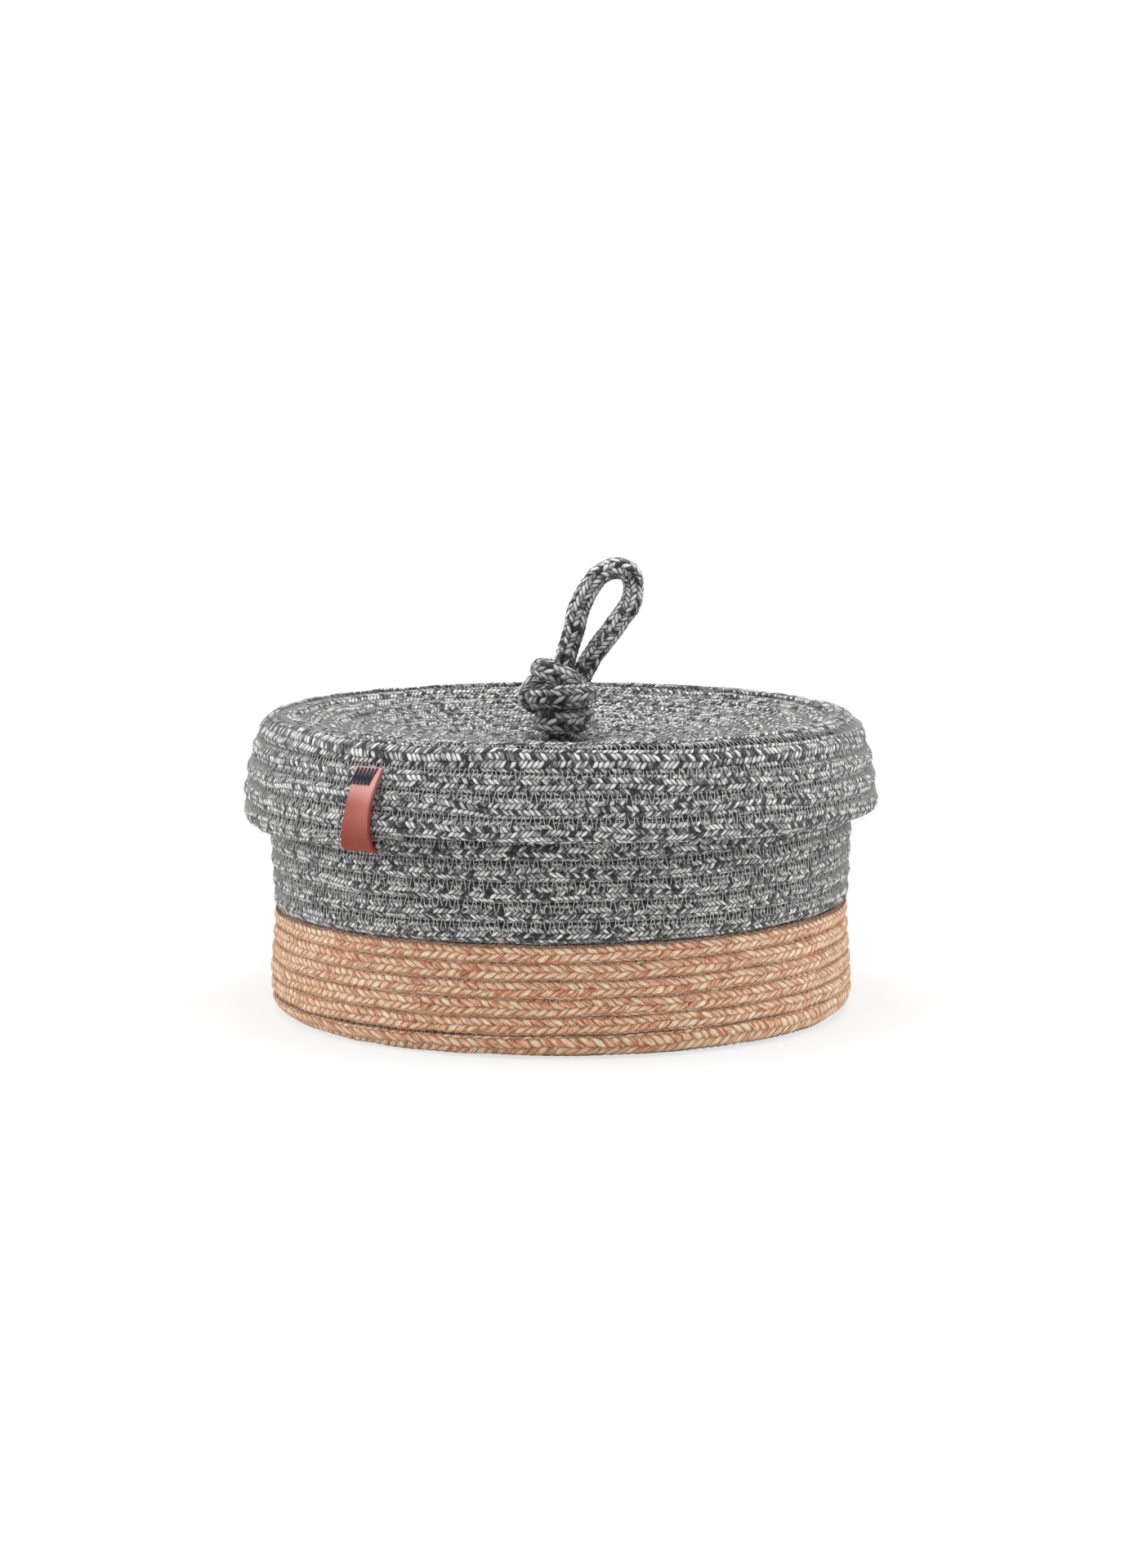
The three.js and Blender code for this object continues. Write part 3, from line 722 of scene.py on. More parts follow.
def tube_mesh(name, rings, along, shares=None, turned=None, each=None, round_=None):
    """A closed tube through rings of points: a grid that is rolled up and welded. Its map Rope
    holds the length along it and the braid's share of the way round, and its map Round the
    shares given for each ring. With each, every so many rings are a tube of their own."""
    count, sides = rings.shape[:2]
    shares = np.append(shares_round(sides) if shares is None else shares, 1.0)
    mesh = bpy.data.meshes.new(name)
    grid = bmesh.new()
    grid.loops.layers.uv.new("Rope")
    if round_ is not None:
        grid.loops.layers.uv.new("Round")
    bmesh.ops.create_grid(grid, x_segments=count - 1, y_segments=sides, size=0.5)
    if each:
        between = [face for face in grid.faces
                   if int((face.verts[0].co.x + face.verts[2].co.x + 1) / 2 * (count - 1)) % each
                   == each - 1]
        bmesh.ops.delete(grid, geom=between, context="FACES")
    grid.to_mesh(mesh)
    flat = np.empty(3 * len(mesh.vertices))
    mesh.vertices.foreach_get("co", flat)
    flat = flat.reshape(-1, 3)
    i = np.rint((flat[:, 0] + 0.5) * (count - 1)).astype(int)
    j = np.rint((flat[:, 1] + 0.5) * sides).astype(int)
    mesh.vertices.foreach_set("co", rings[i, j % sides].ravel())
    corners = np.empty(len(mesh.loops), int)
    mesh.loops.foreach_get("vertex_index", corners)
    ring, share = i[corners], shares[j[corners]]
    uv = np.stack([along[ring], share + (0 if turned is None else turned[ring])], 1)
    mesh.uv_layers["Rope"].data.foreach_set("uv", uv.ravel())
    if round_ is not None:
        uv = np.stack([along[ring], round_[ring, j[corners]]], 1)
        mesh.uv_layers["Round"].data.foreach_set("uv", uv.ravel())
    grid.clear()
    grid.from_mesh(mesh)
    bmesh.ops.remove_doubles(grid, verts=grid.verts, dist=1e-6)
    edges = [edge for edge in grid.edges if edge.is_boundary]
    if edges:
        bmesh.ops.holes_fill(grid, edges=edges)
    bmesh.ops.recalc_face_normals(grid, faces=grid.faces)
    grid.to_mesh(mesh)
    grid.free()
    return mesh


def shares_round(sides, finer=0.0):
    """Shares of the way round a rope from its seam, finer opposite the seam."""
    even = np.arange(sides) / sides
    return even + finer * np.sin(FULL_TURN * even) / FULL_TURN


def rope_rings(centre, first, second, half_out, half_aside, block, shares):
    """Rings round centres: first is the direction the seam faces away from."""
    round_ = FULL_TURN * (shares_round(shares) if isinstance(shares, int) else shares) + math.pi
    out, aside = np.cos(round_), np.sin(round_)
    fit = (np.abs(out) ** block + np.abs(aside) ** block) ** (-1 / block)
    return (centre[:, None]
            + first[:, None] * (half_out[:, None] * out * fit)[..., None]
            - second[:, None] * (half_aside[:, None] * aside * fit)[..., None])


def pushed_by_braid(rings, centre, along, braid, amount, shares, turned):
    """Moves a rope's surface in and out with its braid."""
    relief = braid.heights(along[:, None], shares[None, :] + turned[:, None]) - 0.85
    return rings + unit(rings - centre[:, None]) * (relief[..., None] * amount)


def strand_mesh(name, points, way, outward, half, places, **more):
    """A thin thread or fibre that lies on a rope's surface."""
    across = unit(np.cross(way, outward))
    rings = rope_rings(points, np.cross(across, way), across, half, half, 2.0, THREAD_SIDES)
    rings[..., 2] = np.maximum(rings[..., 2], OVER_FLOOR)
    return tube_mesh(name, rings, places, **more)


def wound_rope(name, node, body, winding, braid, seed, sides=26, step=ALONG_ROPE, taper=None,
               ends=(False, False), free=(False, False), before=0.0, relief=0.34, growing=0.0):
    """Puts a rope on its winding, slightly uneven, its braid standing out, and returns its
    length. It is made in lengths that join ring to ring, so that no mesh is too large. Ends
    tells which ends are rounded, and free whether the first turn and the last one have no
    neighbour on their other side. Before is the length of the rope that it goes on from, and
    growing the angle over which a thin start grows to the full rope."""
    angles, along = winding.angles_along(step)
    centre, outward, onward = winding.frame_at(angles)
    scale = np.ones_like(along) if taper is None else taper(angles)
    centre -= onward * (winding.course / 2 * (1 - scale))[:, None]
    if growing:
        grown = np.clip((angles - angles[0]) / growing, 0.2, 1)
        centre += onward * (winding.course / 2 * (1 - grown))[:, None]
        scale = scale * grown
    centre += outward * wander(along, seed, 0.16 * MM)[:, None]
    centre += onward * wander(along, seed + 1, 0.12 * MM)[:, None]
    swell = 1 + wander(along, seed + 2, 0.012, shortest=12 * MM)
    for at_end, distance in zip(ends, (along, along[-1] - along)):
        if at_end:
            dome = np.clip(distance / (0.35 * winding.rope), 0, 1)
            scale = scale * np.sqrt(np.clip(1 - (1 - dome) ** 2, 0, 1))
    half_out = winding.rope / 2 * swell * scale
    half_aside = (winding.course / 2 + 0.1 * MM) * swell * scale
    shares = shares_round(sides, finer=0.45)
    rings = rope_rings(centre, outward, onward, half_out, half_aside, winding.block, shares)
    rings = winding.bent(rings, angles, centre, outward, onward)
    depth = relief * MM * np.clip(scale, 0, 1)[:, None, None]
    turned = braid.turned(along + before)
    # Shares for the grooves' painted shade, darkest a little off the groove; free turns get none
    # on their open side
    round_ = np.tile(np.append(shares, 1.0) - GROOVE_LEAN * winding.outside, (len(along), 1))
    first, last = angles < angles[0] + FULL_TURN, angles > angles[-1] - FULL_TURN
    for at_end, of_turn, side in zip(free, (first, last), (round_ > 0.5, round_ < 0.5)):
        if at_end:
            round_[side & of_turn[:, None]] = 0.5
    rings = pushed_by_braid(rings, centre, along + before, braid, depth, shares, turned)
    rings[..., 2] = np.maximum(rings[..., 2], OVER_FLOOR)
    pieces = math.ceil(2 * rings.shape[0] * sides / LARGEST_MESH)
    cuts = np.linspace(0, len(rings) - 1, pieces + 1).astype(int)
    for number, (start, end) in enumerate(zip(cuts, cuts[1:])):
        part = slice(start, end + 1)
        label = name if pieces == 1 else f"{name}_{number + 1}"
        mesh = tube_mesh(label, rings[part], along[part] + before, shares, turned[part],
                         round_=round_[part])
        finish_piece(mesh, bpy.data.materials[braid.finish], body, braid.slot, node)
    return along[-1]


def carried_frames(points):
    """Two directions square to a path at each point, carried along it without twist."""
    way = unit(np.gradient(points, axis=0))
    first = np.empty_like(points)
    first[0] = np.cross(way[0], (0.3, 1.0, 0.2))
    for i in range(len(points)):
        carried = first[max(i - 1, 0)]
        carried = carried - way[i] * np.dot(carried, way[i])
        first[i] = carried / np.linalg.norm(carried)
    return first, np.cross(way, first)


def handle_rope(name, points, rope, seed, cut=0.5, deeper=None):
    """The handle's rope along a smooth path through points given in millimetres. Cut is how
    blunt its ends are. Deeper is how much deeper than wide it is, and between which heights it
    becomes so."""
    line = through(np.array(points) * MM)
    run = run_along(line)
    along = np.linspace(0, run[-1], int(run[-1] / HANDLE_STEP))
    centre = on_line(along, run, line)
    for _ in range(12):
        centre[1:-1] = (centre[:-2] + 2 * centre[1:-1] + centre[2:]) / 4
    first, second = carried_frames(centre)
    half = rope / 2 * (1 + wander(along, seed, 0.014, shortest=9 * MM))
    for distance in (along, along[-1] - along):
        rise = np.clip(distance / (cut * rope / 2), 0, 1)
        half = half * np.clip(1 - (1 - rise) ** 4, 0.02, 1) ** 0.5
    wide = half
    if deeper:
        factor, low, high = deeper
        share = np.clip((centre[:, 2] - low) / (high - low), 0, 1)
        wide = half * (1 + (factor - 1) * share * share * (3 - 2 * share))
    shares = shares_round(HANDLE_SIDES)
    rings = rope_rings(centre, first, second, half, wide, 2.0, shares)
    depth = HANDLE_RELIEF * np.clip(half / (rope / 2), 0, 1)[:, None, None]
    turned = HANDLE_BRAID.turned(along + seed)
    rings = pushed_by_braid(rings, centre, along, HANDLE_BRAID, depth, shares, turned)
    return tube_mesh(name, rings, along, turned=turned)


def zigzag_thread(name, winding, sewing, reach, drop, seed, first, last, side=1, taper=None,
                  step=None, bends=1, sink=None):
    """The thread that sews each course of a winding to the next one, more on the lower one."""
    step = step or sewing.step
    angles, along = winding.angles_along(0.5 * MM, first, last)
    dice = np.random.default_rng(seed)
    count = int(along[-1] / step)
    knots = (np.arange(count) + 0.5 + 0.16 * (dice.random(count) - 0.5)) * step
    spread = reach / 2 * (1 + 0.16 * (dice.random(count) - 0.5))
    signs = np.where(np.arange(count) % 2, 1.0, -1.0)
    # Each turn of the zigzag is a needle hole: surface, hole, surface
    place = knots + np.array([-0.22, 0, 0.22])[:, None] * step
    aside = signs * spread * np.array([0.93, 1, 0.93])[:, None] - winding.outside * drop
    lift = np.repeat([[1.0], [-2.6], [1.0]], count, axis=1)
    order = np.argsort(place.ravel(), kind="stable")
    place, aside, lift = (rows.ravel()[order] for rows in (place, aside, lift))
    if bends > 1:
        number = np.arange(len(place))
        finer = np.linspace(0, number[-1], bends * len(number))
        place, aside, lift = (np.interp(finer, number, row) for row in (place, aside, lift))
    at = np.interp(place, along, angles)
    centre, outward, onward = winding.frame_at(at, winding.course / 2)
    if taper is not None:
        width = winding.course * taper(at + FULL_TURN)
        aside = np.minimum(aside, np.maximum(width - 0.8 * MM, 0.6 * MM))
    from_middle = winding.course / 2 - np.abs(aside)
    surface = winding.surface_height(from_middle) - (sewing.sink if sink is None else sink)
    out = surface + lift * sewing.thread / 2
    points = centre + side * outward * out[:, None] + onward * aside[:, None]
    half = np.full(len(points), sewing.thread / 2)
    way = unit(np.gradient(points, axis=0))
    return strand_mesh(name, points, way, outward, half, run_along(points))


def stray_fibres(name, winding, fuzz, count, longest, seed):
    """Fine curved fibres that stand off a winding's ropes, each a closed sliver."""
    dice = np.random.default_rng(seed)
    share = np.linspace(0, 1, FIBRE_RINGS)
    start = winding.start_angle + FULL_TURN * (winding.turns * dice.random(count))
    radius = np.linalg.norm(winding.frame_at(start)[0][:, :2], axis=1)
    size = longest * (0.35 + 0.65 * dice.random(count))
    heading = dice.normal(0.0, 0.9, count) + math.pi * dice.integers(0, 2, count)
    curl = dice.normal(0.0, 1.0, count)
    facing = heading[:, None] + curl[:, None] * share
    step = size[:, None] / (FIBRE_RINGS - 1)
    onward = np.cumsum(np.cos(facing) * step, axis=1)
    aside = winding.course * (dice.random(count)[:, None] - 0.5) + np.cumsum(
        np.sin(facing) * step, axis=1)
    free = fuzz.lift * dice.random(count)[:, None] * np.where(
        dice.random(count)[:, None] < 0.5, np.sin(math.pi * share), share ** 1.5)
    angles = (start[:, None] + onward / np.maximum(radius, 8 * MM)[:, None]).ravel()
    centre, outward, _ = winding.frame_at(angles, aside.ravel())
    nearest = np.mod(aside.ravel() + winding.course / 2, winding.course) - winding.course / 2
    height = np.maximum(winding.surface_height(nearest), 0.55 * winding.rope / 2)
    points = centre + outward * (height + 0.1 * MM + free.ravel())[:, None]
    way = unit(np.gradient(points.reshape(count, FIBRE_RINGS, 3), axis=1).reshape(-1, 3))
    half = np.tile(fuzz.thickness / 2 * np.sin(math.pi * share) ** 0.5, count)
    places = (np.arange(count)[:, None] * 0.05 + share * longest).ravel()
    return strand_mesh(name, points, way, outward, half, places, each=FIBRE_RINGS)


# ---- operators ---------------------------------------------------------------------------

# The loop from foot to foot, across and up from the knot's top, in rope thicknesses
LOOP_ROUTE = (
    (0.25, 0), (0.41, 0.55), (0.66, 1.36), (0.82, 2.16), (1.17, 2.97), (1.66, 3.77),
    (2.14, 4.17), (2.74, 4.33), (3.22, 4.21), (3.52, 3.78), (3.54, 3.05), (3.36, 2.47),
    (2.99, 1.98), (2.55, 1.36), (1.93, 0.55), (1.53, 0),
)


def around(middle, radius, degrees, height):
    """A point round an upright line, in millimetres."""
    angle = math.radians(degrees)
    return middle + radius * math.cos(angle), radius * math.sin(angle), height


# The knot's two ropes, in millimetres over its foot
KNOT_WRAPS = (
    (4.0, 3.0, 2.6), around(1.3, 7.4, 90, 3.0), around(1.3, 8.3, 135, 3.6),
    *(around(1.3, 8.4, degrees, height) for degrees, height in (
        (180, 4.1), (225, 4.4), (270, 4.6), (315, 4.9), (360, 5.2))),
    around(1.2, 8.8, 45, 6.2), around(0.8, 9.4, 90, 8.2), (-5.2, 5.6, 11.0), (-8.6, 0.4, 13.6),
    (-9.6, -4.4, 14.9), (-6.2, -9.0, 15.5), around(0.7, 10.5, 270, 15.7),
    around(0.7, 10.5, 315, 15.9), around(0.7, 10.4, 360, 16.0), around(0.5, 10.2, 45, 16.3),
    (0, 9.8, 16.8), (-6.6, 8.8, 13.6), (-11.0, 5.2, 11.4), (-13.1, 1.6, 14.6),
    (-11.6, -0.8, 18.6), (-7.4, -1.0, 20.4), (-2.6, 1.0, 18.0),
)
KNOT_TOP = (
    (2.6, 5.0, 18.0), (0.6, 7.2, 22.0), (-4.2, 6.4, 25.4), (-8.0, 3.4, 26.2),
    (-8.4, -1.0, 26.2), (-5.8, -4.9, 25.8), (-1.2, -6.9, 24.6), (3.4, -7.0, 22.6),
    (6.4, -5.2, 19.6), (5.8, -1.6, 16.4), (3.0, 1.0, 12.5),
)
# The loop's two legs inside the knot, in millimetres over its foot
LOOP_START = ((1.5, 2, 15.7), (1, 1.5, 22.7), (1.4, 0.5, 27.7))
LOOP_END = ((11.2, 0.3, 28), (8.8, 1.2, 23.2), (6.5, 2.2, 17.7), (5, 2.5, 12.7))
# The knot under the lid, in millimetres below the lid's underside
STOPPER = (
    around(0, 4, 60, 11),
    *(around(0, 8.9, 95 + 45 * i, 12.4 + 0.15 * i) for i in range(8)),
    around(0, 10.2, 455, 10.6), around(0, 11.1, 500, 7.6),
    *(around(0, 11.2, 545 + 45 * i, 5.3 - 0.05 * i) for i in range(7)),
    around(0, 9.0, 860, 6.2), around(0, 4.5, 890, 8.5),
)
# Where the tab's edges run: share of the way down, left and right edge in millimetres
TAB_EDGES = (
    (0, -5.0, 8.2), (0.25, -6.7, 7.2), (0.5, -8.2, 6.4), (0.75, -9.6, 5.8), (0.88, -9.8, 6.6),
    (0.98, -9.6, 7.4), (1.02, -9.6, 5.8), (1.07, -10.0, 3.2), (1.15, -10.6, 2.4),
    (1.25, -11.2, 2.2), (1.6, -11.6, 2.0),
)


def body_windings(sizes):
    """The base spiral, the jute wall and the grey wall, as one winding each."""
    profile = body_profile(sizes)
    change = profile.length_where(lambda x, z: z >= sizes.change_height)
    lead = sizes.belly_radius - sizes.corner_radius - sizes.plate_lead * sizes.jute_course
    turns = (change - lead) / sizes.jute_course
    wall_start = sizes.change_angle - FULL_TURN * turns
    jute = dict(profile=profile, course=sizes.jute_course, rope=sizes.jute_rope, block=2.9)
    base_turns = lead / sizes.jute_course - 0.5
    base = Winding(start_angle=wall_start - FULL_TURN * base_turns,
                   start_s=0.5 * sizes.jute_course, turns=base_turns, **jute)
    wall = Winding(start_angle=wall_start, start_s=lead, turns=turns, **jute)
    grey_s = change + (sizes.wall_course - sizes.jute_course) / 2
    grey = Winding(profile, sizes.wall_course, sizes.wall_rope,
                   sizes.change_angle - 0.2 * MM / sizes.waist_radius, grey_s,
                   (profile.total - grey_s) / sizes.wall_course)
    return base, wall, grey


def lid_windings(scene):
    """The lid's shape, and the windings of its top and its skirt."""
    lid, body = scene.basket_lid, scene.basket_body
    shape = LidShape(lid, body)
    start_s = lid.hole + lid.rope / 2
    end_s = shape.on_skirt(shape.end_height)
    turns = (end_s - start_s) / lid.course
    start_angle = lid.end_angle - FULL_TURN * turns
    crest_s = shape.profile.length_where(lambda x, z: z >= shape.crest_height - 0.02 * MM)
    crest_turns = (crest_s - start_s) / lid.course
    common = dict(profile=shape.profile, course=lid.course, rope=lid.rope, outside=-1)
    top = Winding(start_angle=start_angle - FULL_TURN * lid.thin_start,
                  start_s=start_s - lid.course * lid.thin_start,
                  turns=crest_turns + lid.thin_start, **common)
    skirt = Winding(start_angle=start_angle + FULL_TURN * crest_turns, start_s=crest_s,
                    turns=turns - crest_turns, **common)
    return shape, top, skirt


def lid_taper(lid):
    def taper(angles):
        share = np.clip(1 + (angles - lid.end_angle) / lid.taper, 0, 1)
        return np.maximum(lid.taper_tip, 1 - share ** 5)
    return taper


def stops_of(colours, kind, *places):
    """A ramp's stops, from the darkest to the lightest colour of a kind of rope."""
    return [(place, getattr(colours, f"{kind}_{shade}"))
            for place, shade in zip(places, ("dark", "middle", "light"))]


def rope_materials(colours):
    """The braided finishes and the sewing threads, made once."""
    made = bpy.data.materials
    if GREY_BRAID.finish not in made:
        # Gap, yarn gap, groove and foot set how dark the painted shade is between strands, between
        # yarns, in the grooves and at the handle's foot
        grey = dict(fibre=2.6, tones=(0.6, 2.9, 1.4), sheen=0.3, gap=0.16, yarn_gap=0.75)
        braided_finish(GREY_BRAID, stops_of(colours, "grey", 0.22, 0.5, 0.82), depth=0.6 * MM,
                       groove=(0.14, 0.215, 0.1), **grey)
        braided_finish(HANDLE_BRAID, stops_of(colours, "grey", 0.14, 0.42, 0.72),
                       depth=0.5 * MM, foot=(125 * MM, 168 * MM, 0.68), **grey)
        braided_finish(JUTE_BRAID, stops_of(colours, "jute", 0.2, 0.5, 0.82), depth=0.6 * MM,
                       fibre=2.4, tones=(0.6, 1.0, 1.6), sheen=0.6, gap=0.5, yarn_gap=0.8,
                       groove=(0.17, 0.225, 0.06), warm=1.22)
        for kind, tint in (("grey", colours.thread), ("jute", colours.jute_thread),
                           ("change", colours.change_thread)):
            thread_finish(f"{kind} sewing thread", tint)
    return made


class BASKET_OT_base(bpy.types.Operator):
    """Winds the flat spiral of jute rope under the basket"""
    bl_idname = "rope_basket.base"
    bl_label = "Base"

    def execute(self, context):
        scene = context.scene
        rope_materials(scene.basket_colours)
        base, wall, _ = body_windings(scene.basket_body)
        run = wound_rope("base_spiral", "base_plate", "basket", base, JUTE_BRAID, 11, sides=16,
                         step=1.8 * MM, ends=(True, False), relief=0.2)
        wound_rope("jute_wall", "jute_wall_coil", "basket", wall, JUTE_BRAID, 21, sides=20,
                   step=1.3 * MM, before=run, relief=0.3)
        return {"FINISHED"}


class BASKET_OT_wall(bpy.types.Operator):
    """Winds the grey rope of the upper wall"""
    bl_idname = "rope_basket.wall"
    bl_label = "Grey wall"

    def execute(self, context):
        scene = context.scene
        rope_materials(scene.basket_colours)
        wound_rope("grey_wall", "grey_wall_coil", "basket", body_windings(scene.basket_body)[2],
                   GREY_BRAID, 31, ends=(False, True), free=(False, True))
        return {"FINISHED"}


class BASKET_OT_lid(bpy.types.Operator):
    """Winds the lid's rope over the dished top, the crest and the skirt"""
    bl_idname = "rope_basket.lid"
    bl_label = "Lid"

    def execute(self, context):
        scene = context.scene
        lid = scene.basket_lid
        rope_materials(scene.basket_colours)
        _, top, skirt = lid_windings(scene)
        run = wound_rope("lid_top", "lid_top_coil", "lid", top, GREY_BRAID, 41,
                         ends=(True, False), free=(True, False), relief=0.42,
                         growing=FULL_TURN * lid.thin_start)
        wound_rope("lid_skirt", "lid_skirt_coil", "lid", skirt, GREY_BRAID, 51,
                   ends=(False, True), free=(False, True), before=run, taper=lid_taper(lid))
        return {"FINISHED"}


class BASKET_OT_sewing(bpy.types.Operator):
    """Sews the courses together with zigzag thread"""
    bl_idname = "rope_basket.sewing"
    bl_label = "Sewing"

    def execute(self, context):
        scene = context.scene
        sewing = scene.basket_sewing
        made = rope_materials(scene.basket_colours)
        base, wall, grey = body_windings(scene.basket_body)
        _, top, skirt = lid_windings(scene)
        jute, jute_low = sewing.jute_reach, sewing.jute_drop
        grey_wide, grey_low = sewing.reach, sewing.drop
        last = wall.turns - 1
        runs = (
            ("base_seam", base, jute, jute_low, 0.0, base.turns, "jute"),
            ("jute_seam", wall, jute, jute_low, 0.0, last, "jute"),
            ("change_seam", wall, sewing.change_reach, sewing.change_drop, last, wall.turns,
             "change"),
            ("grey_seam", grey, grey_wide, grey_low, 0.0, grey.turns - 1, "grey"),
            ("lid_top_seam", top, sewing.top_reach, 0.0, 0.0, top.turns, "grey"),
            ("lid_skirt_seam", skirt, grey_wide, grey_low, 0.0, skirt.turns - 1, "grey"),
        )
        taper = lid_taper(scene.basket_lid)
        for seed, (name, winding, reach, drop, first, last, kind) in enumerate(runs):
            on_lid = winding in (top, skirt)
            for side, where in ((1, "outside"), (-1, "inside"))[:1 if on_lid else 2]:
                mesh = zigzag_thread(f"{name}_{where}", winding, sewing, reach, drop, 100 + seed,
                                     first, last, side, taper if winding is skirt else None,
                                     sink=sewing.top_sink if winding is top else None)
                finish_piece(mesh, made[f"{kind} sewing thread"], "lid" if on_lid else "basket",
                             "jute" if kind == "jute" else "grey_rope")
        end = skirt.turns - 1
        tack = zigzag_thread("rope_end_tack", skirt, sewing, sewing.tack_reach,
                             -sewing.tack_reach / 3, 120, end - sewing.tack_width / FULL_TURN,
                             end, taper=taper, step=sewing.tack_step, bends=5)
        finish_piece(tack, made["grey sewing thread"], "lid", "grey_rope")
        return {"FINISHED"}


class BASKET_OT_fuzz(bpy.types.Operator):
    """Lets stray fibres stand off the ropes"""
    bl_idname = "rope_basket.fuzz"
    bl_label = "Stray fibres"

    def execute(self, context):
        scene = context.scene
        fuzz, colours = scene.basket_fuzz, scene.basket_colours
        wool = fibre_finish("stray wool", ((0.4, colours.grey_dark), (0.6, colours.grey_light)))
        straw = fibre_finish("stray jute", stops_of(colours, "jute", 0.38, 0.48, 0.56))
        _, wall, grey = body_windings(scene.basket_body)
        _, top, skirt = lid_windings(scene)
        few = fuzz.wool_fibres, fuzz.wool_longest, wool
        for name, winding, (count, longest, finish), body, slot in (
            ("jute_fibres", wall, (fuzz.jute_fibres, fuzz.jute_longest, straw), "basket", "jute"),
            ("wall_fibres", grey, few, "basket", "grey_rope"),
            ("lid_top_fibres", top, few, "lid", "grey_rope"),
            ("skirt_fibres", skirt, few, "lid", "grey_rope"),
        ):
            mesh = stray_fibres(name, winding, fuzz, count, longest, 200 + len(name))
            finish_piece(mesh, finish, body, slot)
        return {"FINISHED"}


class BASKET_OT_handle(bpy.types.Operator):
    """Ties the rope handle: loop, double knot, tails and the knot under the lid"""
    bl_idname = "rope_basket.handle"
    bl_label = "Handle"

    def execute(self, context):
        scene = context.scene
        handle, lid = scene.basket_handle, scene.basket_lid
        finish = rope_materials(scene.basket_colours)[HANDLE_BRAID.finish]
        lid_top = (lid_windings(scene)[0].dish_middle + lid.rope / 2) / MM
        rope = handle.rope / MM
        foot = lid_top + handle.neck / MM
        hinge = foot + handle.rise * rope

        def raised(points, level, way=1):
            return [(x, y, level + way * z) for x, y, z in points]

        route = [(x * rope, 0, hinge + z * rope) for x, z in LOOP_ROUTE]
        line = [*raised(LOOP_START, foot), *route, *raised(LOOP_END, foot)]
        loop = finish_piece(handle_rope("loop_rope", line, handle.rope, 61), finish, None,
                            "grey_rope", "handle_loop")
        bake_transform(loop)

        half = rope / 2 + 0.15
        under = lid_top - lid.rope / MM - 0.5
        pieces = [
            ("handle_knot", "knot_wraps", raised(KNOT_WRAPS, foot), handle.fuller, 62, {}),
            ("handle_knot", "knot_top", raised(KNOT_TOP, foot), 1.05, 68, {}),
        ]
        for side, name in ((-1, "left"), (1, "right")):
            tail = [
                (side * (half - 0.8), 0, foot + 1.5), (side * half, 0, foot - 3),
                (side * half, 0, under), (side * (half - 0.6), 0, under - 9),
                (side * (half - 0.6), 0.8 * side, under - 16),
                (side * (half + 1.2), 0.8 * side, under - 21),
                (side * (half + 3.0), 1.0 * side, under - 25.6),
            ]
            deeper = 1.8, (under - 5) * MM, (under + 4) * MM
            pieces.append((f"handle_tail_{name}", f"{name}_tail", tail, 1, 63 + side,
                           {"cut": 0.25, "deeper": deeper}))
        pieces.append(("stopper_knot", "stopper_rope", raised(STOPPER, under, -1), 1, 66, {}))
        for node, name, line, fuller, seed, more in pieces:
            mesh = handle_rope(name, line, handle.rope * fuller, seed, **more)
            finish_piece(mesh, finish, "lid", "grey_rope", node)
        return {"FINISHED"}


